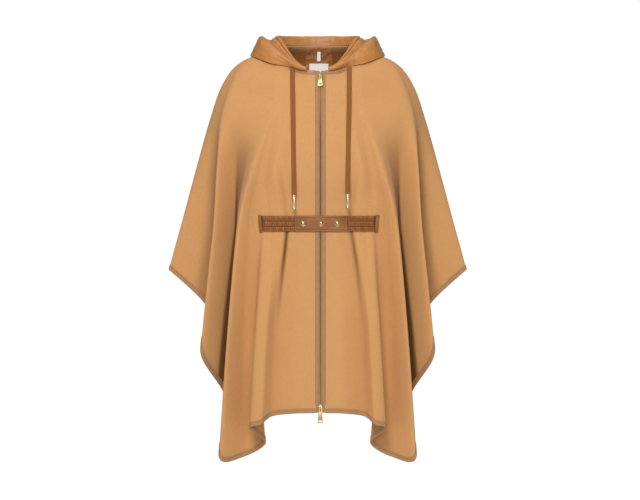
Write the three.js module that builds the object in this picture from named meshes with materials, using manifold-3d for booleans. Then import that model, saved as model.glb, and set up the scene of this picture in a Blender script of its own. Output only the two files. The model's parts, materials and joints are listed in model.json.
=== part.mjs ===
// Hooded wool cape, filled out as if worn: open zip front that is closed, a gathered belt across the
// front, a soft nylon hood lying on the shoulders. Millimetres, +Z up, the front faces -Y. The origin
// is in the middle of the neck at the height where the cape rests on the shoulders.
import * as THREE from 'three';
import { mergeVertices } from 'three/addons/utils/BufferGeometryUtils.js';
import Module from 'manifold-3d';

const wasm = await Module();
wasm.setup();

// Cloth and seams
const GAP = 0.3;
const CLOTH = 2.2;
const BINDING_WIDTH = 10.5;
const BINDING_THICK = 0.8;
const BINDING_GAP = 0.5;
const EDGE_STEP = 0.05;
const LEAST_SLANT = 0.3;
const MOST_REACH = 0.38;

// Neck seam, an ellipse that dips towards the front
const NECK = { halfWidth: 92, front: -76, back: 62, backZ: -3, frontDrop: 64, reach: 0.25 };

// The zip hangs a little to one side of the middle
const CLOSING = { x: 7, spread: 90, halfBand: 12.5, chainWidth: 3.2, bandThick: 1.8, chainThick: 1.5 };

// Heights that every line of the cape passes
const CHEST_Z = -190;
const BUST_Z = -315;
const WAIST_Z = -449;

// The lines that run down half the cape, from the closing round to the middle of the back: each
// ridge and valley of its folds. neck is the angle at the neck seam, from the front; cap is how far
// the shoulder rounds out between yoke and chest; thigh lies halfway between waist and hem.
const COLUMNS = ['neck', 'yokeX', 'yokeY', 'yokeZ', 'cap', 'chestX', 'chestY', 'bustX', 'bustY',
  'waistX', 'waistY', 'thighX', 'thighY', 'hemX', 'hemY', 'hemZ'];
const LINES = {
  closing:     [8, 12.8, -93, -110, 0, 12.8, -120, 12.8, -140, 12.8, -122, 12.8, -139, 12.8, -155, -920],
  frontFace:   [18, 33, -93, -107, 0, 40, -119, 46, -137, 45, -119, 58, -137, 62, -154, -921],
  beltCrease:  [27, 50, -91, -103, 0, 64, -117, 82, -131, 78, -111, 105, -123, 114, -137, -925],
  ridgeA:      [34, 62, -89, -99, 0, 80, -116, 107, -134, 104, -113, 128, -142, 142, -162, -948],
  foldA:       [40, 72, -86, -96, 0, 92, -113, 117, -130, 130, -110, 154, -137, 172, -149, -956],
  returnA:     [46, 82, -83, -91, 0, 104, -110, 127, -124, 146, -104, 153, -117, 134, -112, -995],
  hollowB:     [53, 94, -78, -85, 0, 117, -108, 146, -120, 170, -100, 184, -106, 182, -102, -1031],
  rimB:        [61, 110, -70, -77, 0, 134, -104, 170, -120, 199, -110, 226, -126, 245, -134, -1037],
  valleyC:     [74, 158, -42, -58, 6, 206, -74, 206, -62, 206, -54, 214, -50, 226, -46, -895],
  rimC:        [82, 179, -26, -50, 12, 239, -62, 251, -66, 259, -70, 276, -71, 292, -60, -772],
  valleyD:     [87, 187, -11, -45, 16, 247, -40, 252, -28, 256, -16, 260, -10, 268, -8, -671],
  armLine:     [92, 190, 4, -42, 19, 271, 4, 306, 8, 342, 12, 358, 15, 373, 18, -563],
  backValleyD: [99, 184, 20, -44, 16, 252, 38, 262, 46, 262, 50, 268, 54, 276, 58, -645],
  backRimC:    [107, 174, 38, -50, 12, 240, 64, 258, 84, 266, 92, 278, 96, 286, 98, -752],
  backValleyC: [118, 148, 58, -56, 6, 205, 84, 206, 80, 208, 76, 214, 78, 222, 80, -850],
  backRimB:    [131, 116, 72, -56, 0, 165, 100, 184, 116, 198, 124, 215, 136, 232, 148, -1000],
  backValleyB: [147, 80, 82, -54, 0, 112, 106, 124, 108, 132, 104, 142, 112, 152, 124, -975],
  backRidgeA:  [164, 42, 87, -52, 0, 58, 110, 70, 122, 78, 126, 92, 144, 104, 162, -942],
  centreBack:  [180, 0, 88, -50, 0, 0, 108, 0, 112, 0, 106, 0, 122, 0, 138, -925],
};
const lineNames = Object.keys(LINES);
const ARM = lineNames.indexOf('armLine');
const BACK = lineNames.indexOf('centreBack');
const HEM = 7;
const CAP_OUT = 0.42;
const CAP_UP = 0.9;

// Where the columns of a panel's grid lie between one line and the next, closer round a fold's rim
const EVEN = [0, 0.5];
const TO_RIM = [0, 0.5, 0.85];
const FROM_RIM = [0, 0.1, 0.3, 0.6];
const FRONT_COLUMNS = [EVEN, EVEN, EVEN, TO_RIM, FROM_RIM, EVEN, TO_RIM, FROM_RIM, TO_RIM, FROM_RIM, EVEN];
const BACK_COLUMNS = [EVEN, TO_RIM, FROM_RIM, TO_RIM, FROM_RIM, EVEN, EVEN];
const ROWS = [0.5, 1, 1.5, 2, 2.5, 3, 4, 4.6, 5, 5.4, 6, 6.6];

// Hood: a soft wall round the neck, drawn from its outer border to its inner edge at each angle
// from the front. r is the distance from the middle of the neck.
const HOOD_WALL = { front: 1.5, full: 2.6, fullFrom: 6 };
const HOOD_COLUMNS = ['angle', 'border', 'flank', 'peak', 'notch', 'lay', 'roll', 'edge'];
const HOOD_SECTIONS = [
  [19, [84, -66], [86.8, -64.6], [88, -62.6], [87.6, -60.6], [86.6, -59], [85, -57.9], [81.4, -57.6]],
  [34, [86, -63], [91, -58], [92, -53.5], [89, -50], [86, -47.5], [83, -46.5], [77.5, -50]],
  [54, [93, -55], [99, -44], [99, -35], [89, -33], [85, -29], [80, -26], [73, -33]],
  [68, [128, -46], [126, -27], [116, -9], [99, -15], [92, -11], [86, -5], [77, -16]],
  [80, [152, -34], [148, -16], [136, 9], [112, 3], [102, 9], [94, 16], [82, 3]],
  [92, [168, -28], [157, -6], [143, 22], [123, 13], [111, 17], [101, 22], [89, 7]],
  [106, [172, -31], [164, -6], [147, 20], [123, 5], [112, 15], [100, 24], [87, 3]],
  [125, [166, -82], [168, -32], [148, 16], [122, -20], [108, 4], [92, 24], [82, 1]],
  [150, [144, -180], [170, -92], [146, 12], [126, -88], [108, -20], [83, 24], [71.5, 0.4]],
  [180, [128, -236], [170, -128], [144, 8], [126, -136], [106, -30], [78, 24], [66, -0.4]],
];
const HOOD_ROWS = [0, 0.5, 1, 1.5, 1.8, 2, 2.2, 2.55, 2.85, 3, 3.15, 3.4, 3.8, 4.3, 4.75, 5, 5.25, 5.6, 6];
const HOOD_SEAT = 1.35;
const HOOD_STUD = { a: 2.28, b: 0.95, radius: 2.6, rise: 1.8 };

// Belt across the front
const BELT = {
  z: -449.5, height: 39, tabFrom: -58, tabTo: 75, tabThick: 3.2, rim: 1.1, rimEnd: 0.04, rimSide: 0.1,
};
const RUCHE = {
  left: -133, right: 138, thick: 2.4, rise: 2.6, fullest: 0.38, rows: 3, gathers: 12, columns: 24, lines: 6,
};
const WELT = { left: -138.5, right: 143, width: 8, height: 44, thick: 2.6, rise: 0.8, lean: 4 };
const STUD = { xs: [-36, 8, 48.5], radius: 7, rise: 3.4, seat: 1.2 };

// Drawcords and their metal tips. Each route runs down the middle of its cord.
const CORD = { width: 12.2, thick: 3, tipLength: 36, tipWidth: 7.5, tipThick: 5 };
const CORD_ROUTES = {
  left: [
    [-63, -64.3, -62.8], [-63, -80, -80.5], [-62.7, -92.3, -100.5], [-62.4, -100.7, -122.6],
    [-62, -107, -145], [-61.7, -114.8, -167.5], [-61.3, -120, -190.5], [-61, -123.5, -213.8],
    [-60.5, -126.5, -237], [-60.2, -130, -260.5], [-59.8, -133, -284], [-59.5, -136.2, -307],
    [-59.2, -136.6, -331], [-59.1, -136.6, -354.5], [-59, -136.6, -378],
  ],
  right: [
    [79, -59.8, -59], [79, -76.5, -76], [78.8, -88.6, -96], [78.5, -96.8, -118.3], [78.4, -105, -141],
    [78.1, -112, -163.5], [77.6, -118.9, -186], [77.2, -122.8, -209.5], [76.8, -125.4, -233],
    [76.3, -128, -257], [76, -131.3, -280], [75.5, -134.7, -304], [75.2, -135, -327.5],
    [75.1, -135, -351.2], [75, -135, -375],
  ],
};

// Zip sliders and the pulls that hang from them
const SLIDER = {
  width: 11, nose: 3.5, length: 16, thick: 3.6, bridge: 3, archZ: 6, archY: 5, pin: 1.7, pinY: 2.5,
};
const PULLS = {
  top: { z: -82, top: 9, bottom: 13, length: 28, slotWidth: 6, slotHeight: 3, slotEnd: 4 },
  bottom: { z: -911, top: 9, bottom: 12.5, length: 35, slotWidth: 7, slotHeight: 4, slotEnd: 2.5 },
};
const PULL = { thick: 1.6, bar: 2, window: 4.2, windowLength: 7.2, corner: 1.5 };

// Inside of the back neck
const INSIDE = {
  panel: { from: -30, to: 36, top: -15, bottom: -108, gathers: 7, rise: 1.2 },
  lining: { reach: 78, top: -15, bottom: -100 },
  loop: { x: 3, width: 8.5, top: -14.5, height: 23 },
  label: { x: 3, width: 48, top: -44.5, height: 22.5 },
  thick: 0.9,
};

const rad = (degrees) => (degrees * Math.PI) / 180;
const mix = (a, b, t) => a + (b - a) * t;
const smooth = (t) => {
  const c = Math.min(1, Math.max(0, t));
  return c * c * (3 - 2 * c);
};
const vec = (x, y, z) => new THREE.Vector3(x, y, z);

function spline(a, b, c, d, t) {
  const at = (p, q, r, s) =>
    0.5 * (2 * q + (r - p) * t + (2 * p - 5 * q + 4 * r - s) * t * t + (3 * q - p - 3 * r + s) * t ** 3);
  return vec(at(a.x, b.x, c.x, d.x), at(a.y, b.y, c.y, d.y), at(a.z, b.z, c.z, d.z));
}

// A smooth line through points; past each end it runs on straight, or as the given ghost says.
function along(points, t, ghost) {
  const i = Math.min(points.length - 2, Math.max(0, Math.floor(t)));
  const before = points[i - 1] ?? points[i].clone().multiplyScalar(2).sub(points[i + 1]);
  const after = points[i + 2] ?? ghost ?? points[i + 1].clone().multiplyScalar(2).sub(points[i]);
  return spline(before, points[i], points[i + 1], after, t - i);
}

function neckPoint(angle) {
  const across = NECK.halfWidth * Math.sin(rad(angle));
  const towardsFront = Math.cos(rad(angle));
  const y = towardsFront > 0 ? NECK.front * towardsFront : -NECK.back * towardsFront;
  const drop = smooth((towardsFront + NECK.reach) / (1 + NECK.reach));
  return vec(across, y, NECK.backZ - NECK.frontDrop * drop);
}

function linePoints(values) {
  const row = Object.fromEntries(COLUMNS.map((name, i) => [name, values[i]]));
  const yoke = vec(row.yokeX, row.yokeY, row.yokeZ);
  const chest = vec(row.chestX, row.chestY, CHEST_Z);
  const cap = yoke.clone().lerp(chest, 0.5).add(vec(CAP_OUT * row.cap, 0, CAP_UP * row.cap));
  return [
    neckPoint(row.neck),
    yoke,
    cap,
    chest,
    vec(row.bustX, row.bustY, BUST_Z),
    vec(row.waistX, row.waistY, WAIST_Z),
    vec(row.thighX, row.thighY, mix(WAIST_Z, row.hemZ, 0.5)),
    vec(row.hemX, row.hemY, row.hemZ),
  ];
}
const lines = Object.values(LINES).map(linePoints);

// The cape's outer face on the +X half: u counts the lines, v counts the heights from the neck.
function halfPoint(u, v) {
  const i = Math.min(BACK - 1, Math.max(0, Math.floor(u)));
  const near = [i, i + 1].map((k) => along(lines[k], v));
  const mirrored = near[0].clone().multiply(vec(-1, 1, 1));
  const before = i > 0 ? along(lines[i - 1], v) : near[0].clone().multiplyScalar(2).sub(near[1]);
  const after = i + 2 <= BACK ? along(lines[i + 2], v) : mirrored;
  return spline(before, near[0], near[1], after, u - i);
}

function cape(side, u, v, outward = 0, shift = 0) {
  const step = 0.02;
  const [uLow, uHigh] = [Math.max(0, u - step), Math.min(BACK, u + step)];
  const [vLow, vHigh] = [Math.max(0, v - step), Math.min(HEM, v + step)];
  const across = halfPoint(uHigh, v).sub(halfPoint(uLow, v)).normalize();
  const down = halfPoint(u, vHigh).sub(halfPoint(u, vLow)).normalize();
  const normal = down.clone().cross(across).normalize();
  const point = halfPoint(u, v);
  point.addScaledVector(normal, outward).addScaledVector(across, shift);
  point.x *= side;
  point.x += point.y < 0 ? CLOSING.x * Math.exp(-((point.x / CLOSING.spread) ** 2)) : 0;
  return point;
}

function solve(low, high, test) {
  let [a, b] = [low, high];
  for (let i = 0; i < 26; i += 1) {
    const middle = (a + b) / 2;
    if (test(middle)) a = middle;
    else b = middle;
  }
  return (a + b) / 2;
}

// A closed solid between two matching grids of points; the faces are turned to point outwards.
function shell(outer, inner) {
  const [rows, columns] = [outer.length, outer[0].length];
  const points = [...outer.flat(), ...inner.flat()];
  const top = (i, j) => i * columns + j;
  const low = (i, j) => rows * columns + i * columns + j;
  const index = [];
  const quad = (a, b, c, d) => index.push(a, b, c, a, c, d);
  for (let i = 0; i + 1 < rows; i += 1) {
    for (let j = 0; j + 1 < columns; j += 1) {
      quad(top(i, j), top(i, j + 1), top(i + 1, j + 1), top(i + 1, j));
      quad(low(i, j), low(i + 1, j), low(i + 1, j + 1), low(i, j + 1));
    }
    quad(top(i, 0), top(i + 1, 0), low(i + 1, 0), low(i, 0));
    quad(top(i, columns - 1), low(i, columns - 1), low(i + 1, columns - 1), top(i + 1, columns - 1));
  }
  for (let j = 0; j + 1 < columns; j += 1) {
    quad(top(0, j), low(0, j), low(0, j + 1), top(0, j + 1));
    quad(top(rows - 1, j), top(rows - 1, j + 1), low(rows - 1, j + 1), low(rows - 1, j));
  }
  return facingOut(points, index);
}

// A closed solid through rings of points. A ring runs out along one face and back along the other,
// so its ends are closed across it. turned names the sides of a ring whose squares are split on
// their other diagonal, so that they match the squares of a panel.
function loft(rings, turned) {
  const count = rings[0].length;
  const index = [];
  const quad = (p, q, r, s) => index.push(p, q, r, p, r, s);
  for (let i = 0; i + 1 < rings.length; i += 1) {
    for (let j = 0; j < count; j += 1) {
      const [a, b] = [i * count + j, i * count + ((j + 1) % count)];
      if (turned.includes(j % 4)) quad(b, b + count, a + count, a);
      else quad(a, b, b + count, a + count);
    }
  }
  const last = (rings.length - 1) * count;
  for (let k = 0; k < count / 2 - 1; k += 1) {
    const [a, b, c, d] = [k, k + 1, count - 2 - k, count - 1 - k];
    quad(a, d, c, b);
    quad(last + a, last + b, last + c, last + d);
  }
  return facingOut(rings.flat(), index);
}

function facingOut(points, index) {
  let volume = 0;
  for (let i = 0; i < index.length; i += 3) {
    const [a, b, c] = [points[index[i]], points[index[i + 1]], points[index[i + 2]]];
    volume += a.dot(b.clone().cross(c));
  }
  const turned = volume > 0 ? index : index.toReversed();
  const geometry = new THREE.BufferGeometry().setFromPoints(points);
  geometry.setIndex(turned);
  geometry.computeVertexNormals();
  return geometry;
}

function solidOf(geometry) {
  const bare = geometry.clone();
  bare.deleteAttribute('normal');
  bare.deleteAttribute('uv');
  const merged = mergeVertices(bare, 1e-4);
  return new wasm.Manifold(
    new wasm.Mesh({
      numProp: 3,
      vertProperties: merged.attributes.position.array,
      triVerts: new Uint32Array(merged.index.array),
    }),
  );
}

function joined(...geometries) {
  const mesh = geometries.map(solidOf).reduce((sum, next) => sum.add(next)).getMesh();
  const geometry = new THREE.BufferGeometry();
  geometry.setAttribute('position', new THREE.BufferAttribute(mesh.vertProperties, 3));
  geometry.setIndex(new THREE.BufferAttribute(mesh.triVerts, 1));
  geometry.computeVertexNormals();
  return geometry;
}

const finish = (color, roughness, metalness = 0) => ({ color, roughness, metalness });
const WOOL = finish(0xd39b68, 0.92);
const NYLON = finish(0xbf834e, 0.5);
const TAPE = finish(0xb08662, 0.8);
const BROWN_CORD = finish(0x985e2f, 0.8);
const LEATHER = finish(0xa56e40, 0.55);
const RUCHED = finish(0x91592e, 0.5);
const LINING = finish(0x7d4b22, 0.7);
const GOLD = finish(0xd8b682, 0.25, 1);
const WHITE = finish(0xe9e6e0, 0.8);
const CHAIN = finish(0x8a6540, 0.5);

const part = new THREE.Group();

function add(name, geometry, look, parent = part) {
  const mesh = new THREE.Mesh(geometry, new THREE.MeshStandardMaterial(look));
  mesh.name = name;
  parent.add(mesh);
  return mesh;
}

// Body panels

const spread = (from, places) =>
  [...places.flatMap((list, i) => list.map((t) => from + i + t)), from + places.length];
const frontColumns = spread(0, FRONT_COLUMNS);
const backColumns = spread(ARM, BACK_COLUMNS);

// The two sides of a seam part by half the gap each.
const seamShift = (u, from, to) => (u === from ? GAP / 2 : 0) - (u === to ? GAP / 2 : 0);

// How square the lines of the cape meet an edge: 1 is square on, 0 is along it.
function edgeSlant(side, u, edge) {
  const inwards = edge === HEM ? -1 : 1;
  const [before, after] = [Math.max(0, u - EDGE_STEP), Math.min(BACK, u + EDGE_STEP)];
  const run = cape(side, after, edge).sub(cape(side, before, edge)).normalize();
  const fall = cape(side, u, edge + inwards * EDGE_STEP).sub(cape(side, u, edge)).normalize();
  return Math.max(LEAST_SLANT, run.cross(fall).length());
}

// How much of v lies within a binding's width of an edge.
function bindingReach(side, u, edge) {
  const start = cape(side, u, edge);
  const inwards = edge === HEM ? -1 : 1;
  const width = BINDING_WIDTH / edgeSlant(side, u, edge);
  return solve(0, MOST_REACH, (t) => cape(side, u, edge + inwards * t).distanceTo(start) < width);
}

function heights(side, u) {
  return [0, bindingReach(side, u, 0), ...ROWS, HEM - bindingReach(side, u, HEM), HEM];
}

function panelGrid(columns, outward) {
  const byColumn = columns.map(({ side, u, shift }) =>
    heights(side, u).map((v) => cape(side, u, v, outward, shift)));
  return byColumn[0].map((_, row) => byColumn.map((column) => column[row]));
}

function frontSide(side) {
  return frontColumns.map((u) => ({ side, u, shift: seamShift(u, -1, ARM) }));
}

const backAcross = [
  ...backColumns.map((u) => ({ side: -1, u, shift: seamShift(u, ARM, -1) })),
  ...backColumns.slice(0, -1).reverse().map((u) => ({ side: 1, u, shift: seamShift(u, ARM, -1) })),
];
const panels = { front_left: frontSide(-1), front_right: frontSide(1), back: backAcross };
const outside = {};
const inside = {};
Object.entries(panels).forEach(([name, columns]) => {
  outside[name] = panelGrid(columns, 0);
  inside[name] = panelGrid(columns, -CLOTH);
  add(name, shell(outside[name], inside[name]), WOOL);
});

// A point on the flat faces of a panel, row and column counted along its grid, moved off its face.
function onGrid(grid, row, column, off) {
  const i = Math.min(grid.length - 2, Math.floor(row));
  const j = Math.min(grid[0].length - 2, Math.floor(column));
  const [s, t] = [column - j, row - i];
  const [a, b, c, d] = [grid[i][j], grid[i][j + 1], grid[i + 1][j], grid[i + 1][j + 1]];
  const normal = b.clone().lerp(d, t).sub(a.clone().lerp(c, t))
    .cross(c.clone().lerp(d, s).sub(a.clone().lerp(b, s))).normalize();
  return a.clone().lerp(b, s).lerp(c.clone().lerp(d, s), t).addScaledVector(normal, off);
}

// The point of a panel that is seen at x and z. from and to are the columns that it lies between.
function placed(grid, x, z, off, from, to) {
  const height = (column) => solve(0, grid.length - 1, (row) => onGrid(grid, row, column, 0).z > z);
  const rising = onGrid(grid, 5, to, 0).x > onGrid(grid, 5, from, 0).x;
  const left = (column) => onGrid(grid, height(column), column, 0).x < x;
  const column = solve(from, to, (at) => left(at) === rising);
  return onGrid(grid, height(column), column, off);
}
const rimColumn = frontColumns.indexOf(lineNames.indexOf('rimB'));

// Off is forwards of the fronts, and towards the wearer from inside the back. The closing between
// the fronts is spanned straight across.
const onLeft = (x, z, off) => placed(outside.front_left, x, z, off, 0, rimColumn);
const onRight = (x, z, off) => placed(outside.front_right, x, z, -off, 0, rimColumn);
const halfClosing = lines[0][HEM].x;
function onFront(x, z, off) {
  const [left, right] = [CLOSING.x - halfClosing, CLOSING.x + halfClosing];
  if (x <= left) return onLeft(x, z, off);
  if (x >= right) return onRight(x, z, off);
  return onLeft(left, z, off).lerp(onRight(right, z, off), (x - left) / (right - left));
}
const backRim = backColumns.indexOf(lineNames.indexOf('backRimB'));
const insideBack = (x, z, off) =>
  placed(inside.back, x, z, -off, backRim, 2 * backColumns.length - 2 - backRim);

// A binding folds round the edge of the cloth at that height.
function binding(columns, edge) {
  const inwards = edge === HEM ? -1 : 1;
  return loft(columns.map(({ side, u, shift }) => {
    const start = edge + inwards * bindingReach(side, u, edge);
    const away = cape(side, u, edge).sub(cape(side, u, edge + inwards * EDGE_STEP)).normalize();
    away.divideScalar(edgeSlant(side, u, edge));
    const at = (v, out, past = 0) => cape(side, u, v, out, shift).addScaledVector(away, past);
    const [near, far] = [BINDING_GAP, BINDING_GAP + BINDING_THICK];
    return [
      at(start, far), at(edge, far, far), at(edge, -CLOTH - far, far), at(start, -CLOTH - far),
      at(start, -CLOTH - near), at(edge, -CLOTH - near, near), at(edge, near, near), at(start, near),
    ];
  }), edge === HEM ? [1, 2] : [0, 1]);
}
Object.entries(panels).forEach(([name, columns]) => {
  add(`hem_binding_${name}`, binding(columns, HEM), TAPE);
});
[-1, 1].forEach((side) => {
  const columns = [...frontColumns.slice(0, -1), ...backColumns]
    .map((u) => ({ side, u, shift: seamShift(u, -1, BACK) }));
  add(`neck_binding_${side < 0 ? 'left' : 'right'}`, binding(columns, 0), TAPE);
});

// Closing: a band on each front edge, and the zip's chain between them
function closingRows(top, bottom) {
  return [0, ...ROWS, HEM].map((row) => {
    const v = mix(top, bottom, row / HEM);
    return cape(-1, 0, v).lerp(cape(1, 0, v), 0.5);
  });
}

function closingStrip(from, to, thick, top, bottom) {
  const grid = (depth) => closingRows(top, bottom).map((p) =>
    [from, to].map((x) => p.clone().add(vec(x, depth, 0))));
  return shell(grid(0), grid(thick));
}
const bandInner = CLOSING.chainWidth / 2 + GAP;
add('front_band_left', closingStrip(-CLOSING.halfBand, -bandInner, CLOSING.bandThick, 0, HEM), TAPE);
add('front_band_right', closingStrip(bandInner, CLOSING.halfBand, CLOSING.bandThick, 0, HEM), TAPE);
const halfChain = CLOSING.chainWidth / 2;
add('zip_chain', closingStrip(-halfChain, halfChain, CLOSING.chainThick, 0.12, HEM - 0.03), CHAIN);

// Sliders and pulls
function sliderBody() {
  const { width, length, thick } = SLIDER;
  const shape = new THREE.Shape();
  shape.moveTo(-width / 2, length / 2);
  shape.lineTo(width / 2, length / 2);
  shape.lineTo(width / 2, 0);
  shape.lineTo(SLIDER.nose, -length / 2);
  shape.lineTo(-SLIDER.nose, -length / 2);
  shape.lineTo(-width / 2, 0);
  const body = new THREE.ExtrudeGeometry(shape, { depth: thick, bevelEnabled: false });
  body.rotateX(Math.PI / 2);
  const arch = new THREE.Shape();
  arch.absellipse(0, 0, SLIDER.archY, SLIDER.archZ, -Math.PI / 2, Math.PI / 2, false, 0);
  arch.lineTo(-1, SLIDER.archZ);
  arch.lineTo(-1, -SLIDER.archZ);
  const hole = new THREE.Path();
  hole.absarc(SLIDER.pinY, 0, SLIDER.pin, 0, 2 * Math.PI, true);
  arch.holes.push(hole);
  const round = { depth: SLIDER.bridge, bevelEnabled: false, curveSegments: 8 };
  const bridge = new THREE.ExtrudeGeometry(arch, round);
  bridge.translate(0, 0, -SLIDER.bridge / 2);
  bridge.applyMatrix4(new THREE.Matrix4().makeBasis(vec(0, -1, 0), vec(0, 0, 1), vec(-1, 0, 0)));
  bridge.translate(0, -thick, 0);
  return joined(body, bridge);
}

function pullTab({ top, bottom, length, slotWidth, slotHeight, slotEnd }) {
  const shape = new THREE.Shape();
  shape.moveTo(-top / 2, PULL.bar / 2);
  shape.lineTo(top / 2, PULL.bar / 2);
  shape.lineTo(bottom / 2, PULL.corner - length);
  shape.quadraticCurveTo(bottom / 2, -length, bottom / 2 - PULL.corner, -length);
  shape.lineTo(PULL.corner - bottom / 2, -length);
  shape.quadraticCurveTo(-bottom / 2, -length, -bottom / 2, PULL.corner - length);
  const opening = (halfWidth, high, low) => {
    const path = new THREE.Path();
    path.moveTo(-halfWidth, high);
    path.lineTo(-halfWidth, low);
    path.lineTo(halfWidth, low);
    path.lineTo(halfWidth, high);
    path.closePath();
    shape.holes.push(path);
  };
  opening(PULL.window / 2, -PULL.bar / 2, -PULL.windowLength);
  opening(slotWidth / 2, slotEnd + slotHeight - length, slotEnd - length);
  const tab = new THREE.ExtrudeGeometry(shape, { depth: PULL.thick, bevelEnabled: false, curveSegments: 3 });
  tab.translate(0, 0, -PULL.thick / 2);
  tab.rotateX(Math.PI / 2);
  return tab;
}

// The front face of the bands along the closing, seen from the side.
const closingFace = closingRows(0, HEM);
function closingAt(z) {
  const i = closingFace.findIndex((p) => p.z < z);
  const [above, below] = [closingFace[Math.max(0, i - 1)], closingFace[Math.max(1, i)]];
  return above.clone().lerp(below, (z - above.z) / (below.z - above.z));
}

Object.entries(PULLS).forEach(([name, size]) => {
  const reach = SLIDER.length / 2;
  const [high, low] = [closingAt(size.z + reach), closingAt(size.z - reach)];
  const slope = (high.y - low.y) / (high.z - low.z);
  const bulge = Array.from({ length: 9 }, (_, i) => {
    const p = closingAt(size.z + reach * (i / 4 - 1));
    return high.y + slope * (p.z - high.z) - p.y;
  });
  const group = new THREE.Group();
  group.position.copy(high).lerp(low, 0.5);
  group.rotation.x = -Math.atan(slope);
  group.translateY(-GAP - Math.max(...bulge));
  part.add(group);
  add(`${name}_slider`, sliderBody(), GOLD, group);
  const tab = add(`${name}_pull`, pullTab(size), GOLD, group);
  tab.position.y = -SLIDER.thick - SLIDER.pinY;
});

// Belt: a leather tab with three studs between two ruched lengths that leave through bound slits
const beltBack = (x, z, out) => onFront(x, z, out + 2 * GAP);

function beltPiece(from, to, columns, rows, thick, relief) {
  const grid = (face) => Array.from({ length: rows + 1 }, (_, i) =>
    Array.from({ length: columns + 1 }, (_, j) => {
      const [s, t] = [j / columns, i / rows];
      const z = BELT.z + BELT.height * (0.5 - t);
      const x = mix(from, to, s);
      return beltBack(x, z, face ? thick + relief(s, t) : 0);
    }));
  return shell(grid(1), grid(0));
}
const rimmed = (s, t) =>
  (Math.min(s, 1 - s) < BELT.rimEnd || Math.min(t, 1 - t) < BELT.rimSide ? BELT.rim : 0);
add('belt_tab', beltPiece(BELT.tabFrom, BELT.tabTo, 12, 4, BELT.tabThick, rimmed), LEATHER);
const gathered = (s, t) => {
  const across = Math.abs(Math.sin(Math.PI * RUCHE.rows * t));
  const along = Math.cos(2 * Math.PI * RUCHE.gathers * s);
  return RUCHE.rise * across * (1 - RUCHE.fullest + RUCHE.fullest * along);
};
const ruches = { left: [RUCHE.left, BELT.tabFrom - GAP], right: [BELT.tabTo + GAP, RUCHE.right] };
Object.entries(ruches).forEach(([side, [from, to]]) => {
  const piece = beltPiece(from, to, RUCHE.columns, RUCHE.lines, RUCHE.thick, gathered);
  add(`belt_ruched_${side}`, piece, RUCHED);
});
['left', 'right'].forEach((side) => {
  const start = WELT[side];
  const sign = Math.sign(start);
  const grid = (out) => Array.from({ length: 5 }, (_, i) =>
    [0, 0.5, 1].map((s) => {
      const z = BELT.z + WELT.height * (0.5 - i / 4);
      const x = start + sign * (s * WELT.width + WELT.lean * (0.5 - i / 4));
      return beltBack(x, z, out + (out ? WELT.rise * Math.sin(Math.PI * s) : 0));
    }));
  add(`belt_welt_${side}`, shell(grid(WELT.thick), grid(0)), LEATHER);
});
function dome(radius, rise) {
  const profile = [[0, 0], [1, 0], [1, 0.3], [0.86, 0.72], [0.5, 0.95], [0, 1]];
  return new THREE.LatheGeometry(profile.map(([r, z]) => new THREE.Vector2(r * radius, z * rise)), 16);
}
STUD.xs.forEach((x, i) => {
  const stud = add(`belt_stud_${i + 1}`, dome(STUD.radius, STUD.rise), GOLD);
  stud.rotation.x = Math.PI;
  stud.position.copy(beltBack(x, BELT.z, BELT.tabThick)).add(vec(0, -STUD.seat, 0));
});

// Hood, in two halves that meet at the middle of the back
const hoodLines = HOOD_SECTIONS.map((values) => values.slice(1).map(([r, z]) =>
  vec(r * Math.sin(rad(values[0])), -r * Math.cos(rad(values[0])), z - HOOD_SEAT)));
const LAST_SECTION = HOOD_SECTIONS.length - 1;

function halfHood(a, b) {
  const i = Math.min(LAST_SECTION - 1, Math.max(0, Math.floor(a)));
  const at = (k) => along(hoodLines[k], b);
  const [near, next] = [at(i), at(i + 1)];
  const before = i > 0 ? at(i - 1) : near.clone().multiplyScalar(2).sub(next);
  const after = i + 2 <= LAST_SECTION ? at(i + 2) : near.clone().multiply(vec(-1, 1, 1));
  return spline(before, near, next, after, a - i);
}

function hood(side, a, b, outward, shift = 0) {
  const step = 0.03;
  const bEnd = HOOD_COLUMNS.length - 2;
  const across = halfHood(Math.min(LAST_SECTION, a + step), b).sub(halfHood(Math.max(0, a - step), b));
  const inwards = halfHood(a, Math.min(bEnd, b + step)).sub(halfHood(a, Math.max(0, b - step)));
  const normal = across.clone().cross(inwards).normalize();
  const point = halfHood(a, b).addScaledVector(normal, outward);
  point.addScaledVector(across.normalize(), shift);
  point.x *= side;
  return point;
}

[-1, 1].forEach((side) => {
  const columns = spread(0, Array(LAST_SECTION).fill(EVEN));
  const grid = (inner) => HOOD_ROWS.map((b) => columns.map((a) => {
    const wall = mix(HOOD_WALL.front, HOOD_WALL.full, smooth(a / HOOD_WALL.fullFrom));
    return hood(side, a, b, -inner * wall, a === LAST_SECTION ? -GAP / 2 : 0);
  }));
  add(`hood_${side < 0 ? 'left' : 'right'}`, shell(grid(0), grid(1)), NYLON);
});

// A small snap on the hood's right front border
const { a: snapA, b: snapB } = HOOD_STUD;
const snapSeat = hood(1, snapA, snapB, 0);
const snapOut = hood(1, snapA, snapB, 1).sub(snapSeat);
const snap = add('hood_stud', dome(HOOD_STUD.radius, HOOD_STUD.rise), GOLD);
snap.quaternion.setFromUnitVectors(vec(0, 1, 0), snapOut);
snap.position.copy(snapSeat).addScaledVector(snapOut, 2 * GAP);

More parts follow.
